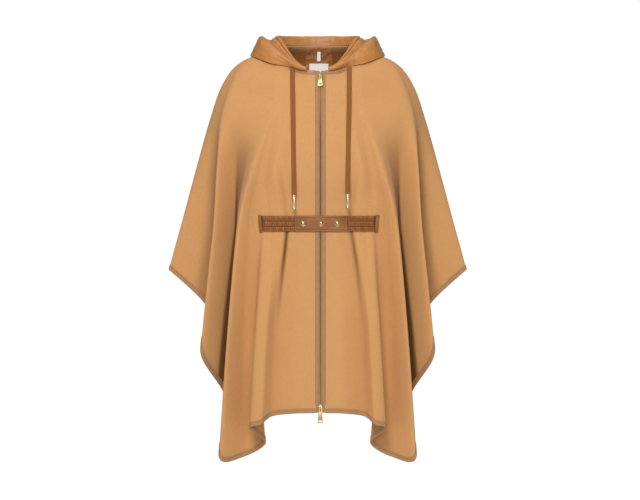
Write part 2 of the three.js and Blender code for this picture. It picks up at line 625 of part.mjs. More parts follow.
// Inside of the back neck: lining at both sides, a gathered nylon panel, loop and label
function insidePatch(from, to, top, bottom, columns, rows, lift, relief = () => 0) {
  const grid = (face) => Array.from({ length: rows + 1 }, (_, i) =>
    Array.from({ length: columns + 1 }, (_, j) => {
      const off = GAP + lift + face * (INSIDE.thick + relief(j / columns));
      return insideBack(mix(from, to, j / columns), mix(top, bottom, i / rows), off);
    }));
  return shell(grid(1), grid(0));
}
const { panel, lining, loop, label } = INSIDE;
const folds = (s) => panel.rise * (0.5 - 0.5 * Math.cos(2 * Math.PI * panel.gathers * s));
add('nylon_panel', insidePatch(panel.from, panel.to, panel.top, panel.bottom, 28, 3, 0, folds), RUCHED);
const flankLeft = insidePatch(-lining.reach, panel.from - GAP, lining.top, lining.bottom, 5, 5, 0);
const flankRight = insidePatch(panel.to + GAP, lining.reach, lining.top, lining.bottom, 5, 5, 0);
add('lining_left', flankLeft, LINING);
add('lining_right', flankRight, LINING);
const layer = INSIDE.thick + panel.rise + 6 * GAP;
const patchOn = ({ x, width, top, height }, columns, rows, lift) =>
  insidePatch(x - width / 2, x + width / 2, top, top - height, columns, rows, lift);
add('hang_loop', patchOn(loop, 2, 3, layer), WHITE);
add('neck_label', patchOn(label, 6, 3, layer), WHITE);

// Drawcords hang from under the hood's front corners, down the chest
Object.entries(CORD_ROUTES).forEach(([side, route]) => {
  const points = route.map((p) => vec(...p));
  const section = new THREE.Shape();
  const [w, h] = [CORD.width / 2, CORD.thick / 2];
  [[w, -h / 2], [w, h / 2], [w - h, h], [h - w, h], [-w, h / 2], [-w, -h / 2], [h - w, -h], [w - h, -h]]
    .forEach(([a, b], k) => (k ? section.lineTo(a, b) : section.moveTo(a, b)));
  const path = new THREE.CatmullRomCurve3(points);
  const run = { steps: points.length - 1, extrudePath: path, bevelEnabled: false };
  const tube = new THREE.ExtrudeGeometry(section, run);
  add(`drawcord_${side}`, tube, BROWN_CORD);
  const tip = new THREE.CylinderGeometry(CORD.tipWidth / 2, CORD.tipWidth / 2, CORD.tipLength, 10);
  tip.rotateX(Math.PI / 2);
  tip.scale(1, CORD.tipThick / CORD.tipWidth, 1);
  const end = points.at(-1);
  add(`aglet_${side}`, tip, GOLD).position.set(end.x, end.y, end.z - GAP - CORD.tipLength / 2);
});

export default part;
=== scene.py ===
import json
import math

import bpy
import numpy as np
from mathutils import Matrix, Vector, noise
from mathutils.bvhtree import BVHTree


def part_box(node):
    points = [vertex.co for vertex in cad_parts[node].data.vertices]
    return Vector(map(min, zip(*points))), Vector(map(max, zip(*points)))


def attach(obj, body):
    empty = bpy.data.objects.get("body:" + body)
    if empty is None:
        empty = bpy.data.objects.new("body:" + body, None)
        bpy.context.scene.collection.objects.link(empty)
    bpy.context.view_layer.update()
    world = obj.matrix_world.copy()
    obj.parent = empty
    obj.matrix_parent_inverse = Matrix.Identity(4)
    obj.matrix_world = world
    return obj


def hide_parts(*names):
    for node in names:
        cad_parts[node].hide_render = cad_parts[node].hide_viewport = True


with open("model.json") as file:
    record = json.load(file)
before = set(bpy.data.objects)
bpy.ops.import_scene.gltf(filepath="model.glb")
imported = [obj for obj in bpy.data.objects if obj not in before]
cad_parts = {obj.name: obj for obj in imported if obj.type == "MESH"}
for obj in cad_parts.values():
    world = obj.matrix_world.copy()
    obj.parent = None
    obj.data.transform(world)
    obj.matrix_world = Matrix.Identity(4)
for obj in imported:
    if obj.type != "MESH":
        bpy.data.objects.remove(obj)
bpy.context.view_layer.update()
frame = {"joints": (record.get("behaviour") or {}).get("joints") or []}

mm = 0.001
print("frame loaded")


# Camera, level with the middle of the cape and far enough off for a flat, catalogue-like view

camera = {"place": (0.0058, -20.06, -0.515), "lens": 450.0}


def makeCamera():
    data = bpy.data.cameras.new("camera")
    data.lens = camera["lens"]
    data.clip_end = 80.0
    eye = bpy.data.objects.new("camera", data)
    eye.location = camera["place"]
    eye.rotation_euler = (math.pi / 2, 0, 0)
    bpy.context.collection.objects.link(eye)
    bpy.context.scene.camera = eye


makeCamera()


# Shader maths: a wire is a socket, and plain operators on it add Math nodes

class Wire:
    def __init__(self, finish, socket):
        self.finish = finish
        self.socket = socket

    def maths(self, operation, *values):
        return self.finish.node("ShaderNodeMath", {"operation": operation}, dict(enumerate(values)))

    def __add__(self, other):
        return self.maths("ADD", self, other)

    def __sub__(self, other):
        return self.maths("SUBTRACT", self, other)

    def __rsub__(self, other):
        return self.maths("SUBTRACT", other, self)

    def __mul__(self, other):
        return self.maths("MULTIPLY", self, other)

    __radd__ = __add__
    __rmul__ = __mul__

    def sine(self):
        return self.maths("SINE", self)

    def size(self):
        return self.maths("ABSOLUTE", self)

    def held(self, low=0.0, high=1.0):
        return self.finish.node("ShaderNodeClamp", {}, {0: self, 1: low, 2: high})


class Finish:
    def __init__(self, name, fixed):
        self.material = bpy.data.materials.new(name)
        self.material.use_nodes = True
        self.tree = self.material.node_tree
        self.shader = self.tree.nodes["Principled BSDF"]
        for socket, value in fixed.items():
            self.shader.inputs[socket].default_value = value

    def node(self, kind, settings, values, output=0):
        made = self.tree.nodes.new(kind)
        for key, value in settings.items():
            setattr(made, key, value)
        for key, value in values.items():
            if isinstance(value, Wire):
                self.tree.links.new(value.socket, made.inputs[key])
            else:
                made.inputs[key].default_value = value
        return Wire(self, made.outputs[output])

    def into(self, socket, wire):
        self.tree.links.new(wire.socket, self.shader.inputs[socket])

    def place(self, stretch=(1, 1, 1), turn=(0, 0, 0)):
        point = self.node("ShaderNodeTexCoord", {}, {}, "Object")
        return self.node("ShaderNodeMapping", {}, {"Vector": point, "Scale": stretch, "Rotation": turn})

    def along(self):
        return self.node("ShaderNodeUVMap", {"uv_map": "cloth"}, {})

    def part(self, vector, axis):
        return self.node("ShaderNodeSeparateXYZ", {}, {0: vector}, axis)

    def grain(self, scale, detail=2.0, vector=None, rough=0.5):
        values = {"Vector": vector or self.place(), "Scale": scale, "Detail": detail, "Roughness": rough}
        return self.node("ShaderNodeTexNoise", {}, values)

    def blend(self, share, low, high):
        return self.node("ShaderNodeMix", {"data_type": "RGBA"}, {0: share, 6: low, 7: high}, 2)

    # Base Color with painted shade: it goes to a deeper tone where the piece's fold attribute is high
    def colour(self, wire, shadeColour, gain):
        fold = self.node("ShaderNodeAttribute", {"attribute_name": "fold"}, {}, 2)
        self.into("Base Color", self.blend((fold * gain).held(), wire, shadeColour))

    def relief(self, height, depth, strength=1.0):
        values = {"Height": height, "Distance": depth, "Strength": strength}
        return self.node("ShaderNodeBump", {}, values)


def shade(colour, times):
    return tuple(c * times for c in colour[:3]) + (1.0,)


# fold is the colour of the painted shade in the wool's folds, creases and valleys
wool = {"colour": (0.655, 0.332, 0.128), "dark": 0.93, "light": 1.05, "fold": (0.15, 0.06, 0.017, 1.0),
        "roughness": 0.92, "nap": 0.00035}


def woolFinish():
    tint = (1.0, 0.80, 0.58, 1.0)
    finish = Finish("camel wool", {"Roughness": wool["roughness"], "Sheen Weight": 0.22,
                                   "Sheen Roughness": 0.45, "Sheen Tint": tint, "Specular IOR Level": 0.2})
    clouds = finish.grain(7.0, 3.0)
    mottle = finish.grain(120.0, 4.0)
    fibres = finish.grain(650.0, 3.0, finish.place((1.0, 1.0, 0.45)))
    share = ((clouds - 0.5) * 0.9 + (mottle - 0.5) * 0.9 + (fibres - 0.5) * 1.1 + 0.5).held()
    # Painted shade: the wool goes towards its fold colour where the fold attribute is high
    finish.colour(finish.blend(share, shade(wool["colour"], wool["dark"]),
                               shade(wool["colour"], wool["light"])), wool["fold"], 1.0)
    height = fibres * 0.7 + mottle * 0.5
    finish.into("Normal", finish.relief(height, wool["nap"], 0.8))
    return finish.material


nylon = {"colour": (0.55, 0.232, 0.06), "roughness": 0.46}


def nylonFinish(name, colour, roughness, crumple):
    finish = Finish(name, {"Sheen Weight": 0.06, "Specular IOR Level": 0.42})
    soft = finish.grain(34.0, 3.0)
    crease = finish.grain(95.0, 3.0, finish.place((1.0, 1.0, 1.6), (0.3, 0.5, 0.2)))
    weave = finish.grain(1600.0, 1.0)
    share = ((soft - 0.5) * 0.9 + (weave - 0.5) * 0.6 + 0.5).held()
    # Painted shade: the nylon goes to a third of its colour where the fold attribute is high, in its creases
    # and folds
    finish.colour(finish.blend(share, shade(colour, 0.9), shade(colour, 1.09)), shade(colour, 0.3), 0.9)
    finish.into("Roughness", soft * 0.16 + (roughness - 0.08))
    height = soft * 1.0 + crease * 0.35 + weave * 0.02
    finish.into("Normal", finish.relief(height, crumple, 0.7))
    return finish.material


tape = {"colour": (0.475, 0.255, 0.118), "rib": 1.3 * mm, "roughness": 0.78}


def tapeFinish():
    finish = Finish("grosgrain", {"Roughness": tape["roughness"], "Sheen Weight": 0.12,
                                  "Specular IOR Level": 0.25})
    run = finish.along()
    ribs = (finish.part(run, 0) * (2 * math.pi / tape["rib"])).sine() * 0.5 + 0.5
    uneven = finish.grain(90.0, 3.0)
    share = (ribs * 0.55 + (uneven - 0.5) * 0.9 + 0.25).held()
    ribbed = finish.blend(share, shade(tape["colour"], 0.84), shade(tape["colour"], 1.12))
    # Painted shade: the tape goes to half its colour at its grooves and edges, where the fold attribute is
    # high
    finish.colour(ribbed, shade(tape["colour"], 0.5), 1.0)
    finish.into("Normal", finish.relief(ribs + uneven * 0.3, 0.00022, 0.7))
    return finish.material


cordLook = {"colour": (0.315, 0.112, 0.027), "rib": 1.9 * mm, "slant": 1.6}


def cordFinish():
    finish = Finish("woven cord", {"Roughness": 0.8, "Sheen Weight": 0.15, "Specular IOR Level": 0.25})
    run = finish.along()
    across = finish.part(run, 1)
    chevron = finish.part(run, 0) + across.size() * cordLook["slant"]
    ribs = (chevron * (2 * math.pi / cordLook["rib"])).sine() * 0.5 + 0.5
    fuzz = finish.grain(700.0, 2.0)
    share = (ribs * 0.6 + (fuzz - 0.5) * 0.8 + 0.2).held()
    colour = cordLook["colour"]
    finish.into("Base Color", finish.blend(share, shade(colour, 0.8), shade(colour, 1.2)))
    finish.into("Normal", finish.relief(ribs + fuzz * 0.4, 0.00035, 0.8))
    return finish.material


leather = {"colour": (0.365, 0.138, 0.034), "edge": (0.2, 0.068, 0.016), "roughness": 0.5}


def leatherFinish():
    finish = Finish("brown leather", {"Specular IOR Level": 0.4, "Coat Weight": 0.06,
                                      "Coat Roughness": 0.4})
    stretched = finish.place((1.0, 1.0, 1.3))
    pebbles = finish.node("ShaderNodeTexVoronoi", {"feature": "F1"}, {"Vector": stretched, "Scale": 900.0})
    pores = finish.grain(1500.0, 3.0)
    smears = finish.grain(28.0, 4.0, finish.place((0.5, 1.0, 1.4)))
    share = ((smears - 0.5) * 2.4 + (pores - 0.5) * 0.5 + 0.62).held()
    worn = finish.blend(share, leather["edge"] + (1.0,), shade(leather["colour"], 1.0))
    # Painted shade: the leather goes to a darker edge tone in the tab's hollows, where the fold attribute is
    # high
    finish.colour(worn, shade(leather["edge"], 0.55), 1.0)
    finish.into("Roughness", smears * 0.22 + (leather["roughness"] - 0.1))
    finish.into("Normal", finish.relief(pebbles * 0.8 + pores * 0.5, 0.0002, 0.6))
    return finish.material


lining = {"colour": (0.36, 0.122, 0.018), "twill": 1.1 * mm}


def liningFinish():
    finish = Finish("brown lining", {"Roughness": 0.66, "Sheen Weight": 0.1})
    point = finish.place()
    slanted = finish.part(point, 0) + finish.part(point, 2) * 0.7
    lines = (slanted * (2 * math.pi / lining["twill"])).sine() * 0.5 + 0.5
    share = (lines * 0.5 + finish.grain(60.0, 3.0) * 0.5).held()
    colour = lining["colour"]
    finish.into("Base Color", finish.blend(share, shade(colour, 0.85), shade(colour, 1.15)))
    finish.into("Normal", finish.relief(lines, 0.00012, 0.5))
    return finish.material


gold = {"colour": (0.56, 0.4, 0.18), "pale": (0.8, 0.7, 0.46), "roughness": 0.34}


def goldFinish(name, colour):
    finish = Finish(name, {"Metallic": 1.0})
    wear = finish.grain(260.0, 3.0)
    brushed = finish.grain(1400.0, 2.0, finish.place((1.0, 1.0, 0.12)))
    share = ((wear - 0.5) * 0.8 + 0.5).held()
    finish.into("Base Color", finish.blend(share, shade(colour, 0.92), shade(colour, 1.06)))
    finish.into("Roughness", wear * 0.06 + (gold["roughness"] - 0.03))
    finish.into("Normal", finish.relief(brushed, 0.00001, 0.25))
    return finish.material


# glow is painted light: the piece gives off light in its own colour, so it reads white where it lies in shade
def wovenFinish(name, colour, scale, glow=0.0):
    finish = Finish(name, {"Roughness": 0.62, "Sheen Weight": 0.1, "Emission Color": colour + (1.0,),
                           "Emission Strength": glow})
    point = finish.place()
    warp = (finish.part(point, 0) * scale).sine()
    weft = (finish.part(point, 2) * scale).sine()
    checks = warp * weft * 0.5 + 0.5
    soft = finish.grain(70.0, 2.0)
    share = (checks * 0.5 + soft * 0.5).held()
    finish.into("Base Color", finish.blend(share, shade(colour, 0.88), shade(colour, 1.05)))
    finish.into("Normal", finish.relief(checks, 0.00012, 0.5))
    return finish.material


def plasticFinish(name, colour, roughness):
    finish = Finish(name, {"Specular IOR Level": 0.5})
    soft = finish.grain(220.0, 3.0)
    finish.into("Base Color", finish.blend(soft, shade(colour, 0.75), shade(colour, 1.2)))
    finish.into("Roughness", soft * 0.2 + (roughness - 0.1))
    finish.into("Normal", finish.relief(soft, 0.0001, 0.4))
    return finish.material


finishes = {
    "wool": woolFinish(),
    "nylon": nylonFinish("camel nylon", nylon["colour"], nylon["roughness"], 0.0016),
    "ruched": nylonFinish("brown nylon", (0.33, 0.108, 0.02), 0.34, 0.0004),
    "panel": nylonFinish("shiny brown nylon", (0.5, 0.212, 0.066), 0.34, 0.0012),
    "tape": tapeFinish(),
    "cord": cordFinish(),
    "leather": leatherFinish(),
    "lining": liningFinish(),
    "gold": goldFinish("gold", gold["colour"]),
    "tipGold": goldFinish("pale gold", gold["pale"]),
    # The label and the loop glow: painted light that keeps them white in the shade of the neck
    "white": wovenFinish("off-white satin", (0.86, 0.84, 0.79), 9000.0, 0.3),
    "loop": wovenFinish("white tape", (0.92, 0.92, 0.9), 6000.0, 0.35),
    "chain": plasticFinish("zip coil", (0.27, 0.175, 0.095), 0.5),
    "thread": plasticFinish("sewing thread", (0.27, 0.12, 0.045), 0.7),
    # A near-black sheet for the slits' mouths: painted shadow where the inside of each slit is in shade
    "shadow": plasticFinish("painted slit shadow", (0.075, 0.03, 0.011), 0.8),
}
print("finishes made")


# Meshes from grids of points

def outward(points, faces):
    triangles = np.array([[f[0], f[k], f[k + 1]] for f in faces for k in range(1, len(f) - 1)])
    a, b, c = (points[triangles[:, k]] for k in range(3))
    volume = np.einsum("ij,ij->i", a, np.cross(b, c)).sum()
    return faces if volume > 0 else [list(reversed(f)) for f in faces]


def addPiece(name, points, faces, finish, run=None, sharp=40.0, fold=None):
    mesh = bpy.data.meshes.new(name)
    mesh.from_pydata(points.tolist(), [], faces)
    if run is not None:
        corners = np.empty(len(mesh.loops), dtype=np.int32)
        mesh.loops.foreach_get("vertex_index", corners)
        layer = mesh.uv_layers.new(name="cloth")
        layer.uv.foreach_set("vector", run[corners].astype(np.float32).ravel())
    # The fold attribute is painted shade: how far Base Color goes to its deeper tone at each point
    if fold is not None:
        mesh.attributes.new("fold", "FLOAT", "POINT").data.foreach_set("value", fold.astype(np.float32))
    mesh.materials.append(finishes[finish])
    piece = bpy.data.objects.new(name, mesh)
    bpy.context.collection.objects.link(piece)
    mesh.shade_smooth()
    bpy.ops.object.select_all(action="DESELECT")
    piece.select_set(True)
    bpy.context.view_layer.objects.active = piece
    bpy.ops.object.shade_smooth_by_angle(angle=math.radians(sharp))
    return piece


def gridFaces(rows, columns, start=0):
    i, j = np.meshgrid(np.arange(rows - 1), np.arange(columns - 1), indexing="ij")
    first = (start + i * columns + j).ravel()
    return np.stack([first, first + 1, first + columns + 1, first + columns], axis=1).tolist()


# A closed wall between an outer and an inner grid of the same size.
def wallPiece(name, outer, inner, finish, run=None, sharp=40.0, fold=None):
    rows, columns = outer.shape[:2]
    count = rows * columns
    points = np.concatenate([outer.reshape(-1, 3), inner.reshape(-1, 3)])
    faces = gridFaces(rows, columns) + [f[::-1] for f in gridFaces(rows, columns, count)]
    rim = [j for j in range(columns)]
    rim += [i * columns + columns - 1 for i in range(1, rows)]
    rim += [(rows - 1) * columns + j for j in range(columns - 2, -1, -1)]
    rim += [i * columns for i in range(rows - 2, 0, -1)]
    for a, b in zip(rim, rim[1:] + rim[:1]):
        faces.append([b, a, a + count, b + count])
    both = None if run is None else np.concatenate([run.reshape(-1, 2)] * 2)
    depth = None if fold is None else np.concatenate([fold.ravel(), -fold.ravel()])
    return addPiece(name, points, outward(points, faces), finish, both, sharp, depth)


# How deep each point of a wall lies in a fold: its distance below the line between the points that
# lie a reach to either side, as a share of the reach. Runs along a row (1) or down a column (0).
def hollow(outer, inner, reach, axis=1):
    lines, facing = outer, unit(outer - inner)
    if axis == 0:
        lines, facing = lines.swapaxes(0, 1), facing.swapaxes(0, 1)
    depth = np.empty(lines.shape[:2])
    for k, (line, out) in enumerate(zip(lines, facing)):
        run = np.concatenate([[0], np.cumsum(np.linalg.norm(np.diff(line, axis=0), axis=1))])
        span = np.minimum(reach, np.minimum(run, run[-1] - run))
        middle = sum(np.stack([np.interp(run + way * span, run, line[:, c]) for c in range(3)], axis=1)
                     for way in (-1, 1)) / 2
        depth[k] = ((middle - line) * out).sum(axis=1) / reach
    return depth if axis == 1 else depth.T


# A closed body through rings of points, one ring a row.
def loftPiece(name, rings, finish, run=None, sharp=50.0, fold=None):
    rows, columns = rings.shape[:2]
    points = rings.reshape(-1, 3)
    i, j = np.meshgrid(np.arange(rows - 1), np.arange(columns), indexing="ij")
    first = (i * columns + j).ravel()
    second = (i * columns + (j + 1) % columns).ravel()
    faces = np.stack([first, second, second + columns, first + columns], axis=1).tolist()
    faces.append(list(range(columns))[::-1])
    faces.append([(rows - 1) * columns + k for k in range(columns)])
    flat = None if run is None else run.reshape(-1, 2)
    depth = None if fold is None else np.tile(fold, rows)
    return addPiece(name, points, outward(points, faces), finish, flat, sharp, depth)


# A row of stitches along a path that lies on a surface: one small spindle each, all in one mesh
stitch = {"pitch": 3.4 * mm, "length": 2.3 * mm, "thick": 0.55 * mm, "sides": 6, "shoulder": 0.25}


def stitchBeads(path):
    length = np.concatenate([[0], np.cumsum(np.linalg.norm(np.diff(path, axis=0), axis=1))])
    count = int(length[-1] / stitch["pitch"])
    turns = np.arange(stitch["sides"]) * 2 * math.pi / stitch["sides"]
    beads = []
    for k in range(count):
        middle = (k + 0.5) * stitch["pitch"]
        places = [middle + way * stitch["length"] / 2 for way in (-1, 1)]
        ends = [np.array([np.interp(place, length, path[:, c]) for c in range(3)]) for place in places]
        along = ends[1] - ends[0]
        side = unit(np.cross(along, [0.0, 1.0, 0.01]))
        up = unit(np.cross(side, along))
        ring = [(side * math.cos(a) + up * math.sin(a)) * stitch["thick"] / 2 for a in turns]
        near, far = stitch["shoulder"], 1 - stitch["shoulder"]
        beads.append([ends[0]] + [ends[0] + along * near + r for r in ring]
                     + [ends[0] + along * far + r for r in ring] + [ends[1]])
    return beads


def stitchPiece(name, paths):
    beads = [bead for path in paths for bead in stitchBeads(path)]
    n = stitch["sides"]
    faces = []
    for k in range(len(beads)):
        first = k * (2 * n + 2)
        last = first + 2 * n + 1
        for i in range(n):
            a, b = first + 1 + i, first + 1 + (i + 1) % n
            faces += [[first, b, a], [a, b, b + n, a + n], [a + n, b + n, last]]
    points = np.array(beads).reshape(-1, 3)
    return addPiece(name, points, outward(points, faces), "thread", None, 60.0)


def unit(vectors):
    return vectors / np.maximum(np.linalg.norm(vectors, axis=-1, keepdims=True), 1e-12)


def smooth(t):
    c = np.clip(t, 0.0, 1.0)
    return c * c * (3 - 2 * c)


def splineShares(t):
    return np.stack([-t + 2 * t**2 - t**3, 2 - 5 * t**2 + 3 * t**3, t + 4 * t**2 - 3 * t**3, t**3 - t**2]) / 2


def splineSlopes(t):
    return np.stack([-1 + 4 * t - 3 * t**2, 9 * t**2 - 10 * t, 1 + 8 * t - 9 * t**2, 3 * t**2 - 2 * t]) / 2


# A smooth surface through a net of points that has a spare row and column all round.
def netSurface(net, u, v):
    i = np.clip(np.floor(u).astype(int), 0, net.shape[0] - 4)
    j = np.clip(np.floor(v).astype(int), 0, net.shape[1] - 4)
    near = np.stack([np.stack([net[i + a, j + b] for b in range(4)]) for a in range(4)])
    s, t = u - i, v - j

    def weighed(across, down):
        return np.einsum("a...,b...,ab...k->...k", across, down, near)

    point = weighed(splineShares(s), splineShares(t))
    return point, weighed(splineSlopes(s), splineShares(t)), weighed(splineShares(s), splineSlopes(t))


def spareEnds(net):
    first = 2 * net[:, :1] - net[:, 1:2]
    last = 2 * net[:, -1:] - net[:, -2:-1]
    wide = np.concatenate([first, net, last], axis=1)
    mirrored = wide[-2:-1] * np.array([-1.0, 1.0, 1.0])
    return np.concatenate([2 * wide[:1] - wide[1:2], wide, mirrored])


# The cape: lines that run down half of it, from the closing round to the middle of the back, in
# millimetres. neck is an angle; cap is how far the shoulder rounds out below the yoke.

capeColumns = ["neck", "yokeX", "yokeY", "yokeZ", "cap", "chestX", "chestY", "bustX", "bustY",
               "waistX", "waistY", "thighX", "thighY", "hemX", "hemY", "hemZ"]
capeLines = {
    "closing": [8, 12.8, -93, -110, 0, 12.8, -120, 12.8, -140, 12.8, -122, 12.8, -139, 12.8, -155, -920],
    "frontFace": [18, 33, -93, -107, 0, 40, -119, 46, -137, 45, -119, 58, -137, 62, -154, -921],
    "beltCrease": [27, 50, -91, -103, 0, 64, -117, 82, -131, 78, -111, 105, -121, 114, -132, -928],
    "ridgeA": [34, 62, -89, -99, 0, 80, -116, 107, -134, 104, -113, 128, -142, 142, -162, -948],
    "foldA": [40, 72, -86, -96, 0, 92, -113, 117, -130, 130, -110, 154, -137, 170, -149, -958],
    "returnA": [46, 82, -83, -91, 0, 104, -110, 127, -124, 146, -103, 153, -106, 133, -100, -996],
    "hollowB": [53, 94, -78, -85, 0, 117, -108, 146, -120, 170, -97, 184, -92, 182, -88, -1029],
    "rimB": [61, 110, -70, -77, 0, 134, -104, 170, -120, 199, -110, 226, -126, 245, -134, -1032],
    "valleyC": [74, 158, -42, -58, 6, 206, -74, 206, -52, 206, -42, 214, -38, 226, -30, -895],
    "rimC": [82, 179, -26, -50, 12, 239, -62, 251, -72, 259, -80, 276, -82, 292, -72, -772],
    "valleyD": [87, 187, -11, -45, 16, 247, -40, 252, -28, 256, -16, 260, -10, 268, -8, -671],
    "armLine": [92, 190, 4, -42, 19, 271, 4, 306, 8, 342, 12, 358, 15, 373, 18, -563],
    "backValleyD": [99, 184, 20, -44, 16, 252, 38, 262, 46, 262, 50, 268, 54, 276, 58, -645],
    "backRimC": [107, 174, 38, -50, 12, 240, 64, 258, 84, 266, 92, 278, 96, 286, 98, -752],
    "backValleyC": [118, 148, 58, -56, 6, 205, 84, 206, 80, 208, 76, 214, 78, 222, 80, -850],
    "backRimB": [131, 116, 72, -56, 0, 165, 100, 184, 116, 198, 124, 215, 136, 232, 148, -1000],
    "backValleyB": [147, 80, 82, -54, 0, 112, 106, 124, 108, 132, 104, 142, 112, 152, 124, -950],
    "backRidgeA": [164, 42, 87, -52, 0, 58, 110, 70, 122, 78, 126, 92, 144, 104, 162, -912],
    "centreBack": [180, 0, 88, -50, 0, 0, 108, 0, 112, 0, 106, 0, 122, 0, 138, -904],
}
cape = {"chestZ": -190, "bustZ": -315, "waistZ": -449, "capOut": 0.42, "capUp": 0.9, "wall": 2.2 * mm}
neck = {"halfWidth": 92, "front": -76, "back": 62, "backZ": -3, "frontDrop": 64, "reach": 0.25}
closing = {"x": 7 * mm, "spread": 90 * mm, "halfBand": 12.5 * mm, "halfGap": 1.9 * mm}
armLine = list(capeLines).index("armLine")
backLine = list(capeLines).index("centreBack")
hem = 7


def neckPoint(angle):
    towardsFront = math.cos(math.radians(angle))
    across = neck["halfWidth"] * math.sin(math.radians(angle))
    depth = neck["front"] * towardsFront if towardsFront > 0 else -neck["back"] * towardsFront
    drop = smooth((towardsFront + neck["reach"]) / (1 + neck["reach"]))
    return [across, depth, neck["backZ"] - neck["frontDrop"] * drop]


def linePoints(values):
    row = dict(zip(capeColumns, values))
    yoke = np.array([row["yokeX"], row["yokeY"], row["yokeZ"]])
    chest = np.array([row["chestX"], row["chestY"], cape["chestZ"]])
    rounded = np.array([cape["capOut"] * row["cap"], 0, cape["capUp"] * row["cap"]])
    return [
        neckPoint(row["neck"]), yoke, (yoke + chest) / 2 + rounded, chest,
        [row["bustX"], row["bustY"], cape["bustZ"]],
        [row["waistX"], row["waistY"], cape["waistZ"]],
        [row["thighX"], row["thighY"], (cape["waistZ"] + row["hemZ"]) / 2],
        [row["hemX"], row["hemY"], row["hemZ"]],
    ]


capeNet = spareEnds(np.array([linePoints(values) for values in capeLines.values()]) * mm)


# A point of the cape, off its outer face by lift. side is -1 or 1, u counts the lines, v the heights.
def capePoint(side, u, v, lift=0.0):
    side, u, v, lift = np.broadcast_arrays(side, u, v, lift)
    point, across, down = netSurface(capeNet, u, v)
    point = point + unit(np.cross(down, across)) * lift[..., None]
    point[..., 0] *= side
    shift = closing["x"] * np.exp(-((point[..., 0] / closing["spread"]) ** 2))
    point[..., 0] += np.where(point[..., 1] < 0, shift, 0)
    return point


# Fine folds, as lines down the front (x, z) with a depth and a half width; a ridge has a depth over
# 0. dark is how far a crease's bottom is shaded.
frontFolds = [
    {"path": [(-77, -466), (-81, -510), (-87, -560), (-95, -640), (-104, -720)], "depth": -4.5, "width": 6,
     "dark": 0.7},
    {"path": [(-84, -468), (-90, -520), (-99, -590), (-110, -680)], "depth": 3.0, "width": 8},
    {"path": [(-78, -434), (-82, -390), (-92, -330), (-104, -270)], "depth": -2.6, "width": 7},
    {"path": [(-90, -432), (-98, -380), (-108, -320), (-110, -260)], "depth": 2.0, "width": 10},
    {"path": [(-112, -470), (-118, -540), (-126, -640)], "depth": -2.2, "width": 7},
    {"path": [(-120, -430), (-126, -370), (-126, -300)], "depth": -2.0, "width": 8},
    {"path": [(84, -466), (90, -505), (98, -560), (106, -640), (114, -740)], "depth": -4.0, "width": 7,
     "dark": 0.45},
    {"path": [(92, -468), (101, -530), (111, -600), (121, -700)], "depth": 2.6, "width": 9},
    {"path": [(84, -434), (90, -390), (100, -330), (112, -270)], "depth": -2.4, "width": 8},
    {"path": [(98, -432), (104, -372), (114, -310)], "depth": 1.8, "width": 10},
    {"path": [(118, -470), (126, -550), (132, -650)], "depth": -2.0, "width": 8},
    {"path": [(126, -430), (130, -360), (128, -300)], "depth": -1.8, "width": 9},
]
backFolds = [
    {"path": [(-60, -300), (-66, -480), (-74, -760)], "depth": -2.4, "width": 16},
    {"path": [(-22, -420), (-26, -620), (-30, -880)], "depth": 2.0, "width": 20},
    {"path": [(34, -360), (38, -560), (46, -860)], "depth": -2.2, "width": 18},
    {"path": [(84, -320), (92, -500), (104, -800)], "depth": -2.0, "width": 14},
]


# The sum of the folds at each point: their depths in metres, or with key "dark" their shades
def foldLift(x, z, folds, key="depth", narrow=1.0):
    lift = np.zeros_like(x)
    for fold in folds:
        if key not in fold:
            continue
        path = np.array(fold["path"]) * mm
        pieces = len(path) - 1
        nearest = np.full(x.shape, 1e3)
        run = np.zeros_like(x)
        for k in range(pieces):
            a, b = path[k], path[k + 1]
            d = b - a
            t = np.clip(((x - a[0]) * d[0] + (z - a[1]) * d[1]) / (d @ d), 0, 1)
            off = np.hypot(x - a[0] - t * d[0], z - a[1] - t * d[1])
            run = np.where(off < nearest, (k + t) / pieces, run)
            nearest = np.minimum(off, nearest)
        fade = smooth((1 - run) * 1.4)
        scale = mm if key == "depth" else 1.0
        lift += fold[key] * scale * fade * np.exp(-((nearest / (narrow * fold["width"] * mm)) ** 2))
    return lift


panelRows = [7, 6, 6, 18, 20, 34, 34]
panelColumns = 22


def panelHeights():
    steps = [k + np.arange(count) / count for k, count in enumerate(panelRows)]
    return np.concatenate(steps + [[hem]])


# The shadow in the valley behind each rim: a narrow band outside the rim's edge, as seen from the
# front. top and grow are heights v, core and soft widths in x, reach the lines searched for the edge.
valleys = [
    {"rim": "rimB", "dark": 0.95, "core": 1 * mm, "soft": 8 * mm, "top": 3.1, "grow": 2.1},
    {"rim": "rimC", "dark": 0.32, "core": 1 * mm, "soft": 26 * mm, "top": 2.6, "grow": 1.6},
]
rimSearch = {"before": 0.3, "after": 0.8, "steps": 45, "behind": 0.2, "rise": 0.3, "lines": 2}


def valleyShade(valley, u, v, x):
    rim = list(capeLines).index(valley["rim"])
    near = np.linspace(rim - rimSearch["before"], rim + rimSearch["after"], rimSearch["steps"])
    edge = capePoint(1, near, v)[..., 0].max(axis=1, keepdims=True)
    behind = smooth((u - rim - rimSearch["behind"]) / rimSearch["rise"]) * (u < rim + rimSearch["lines"])
    band = 1 - smooth((x - edge - valley["core"]) / valley["soft"])
    return valley["dark"] * behind * band * smooth((v - valley["top"]) / valley["grow"])


# How much painted shade a point's depth in wide folds, in narrow ones and in the drawn creases puts into the
# wool's colour
folding = {"wide": 34 * mm, "wideFoldShade": 0.13, "fine": 9 * mm, "fineFoldShade": 0.5, "creaseWidth": 0.6,
           "lastLine": 7.6, "ease": 0.6}
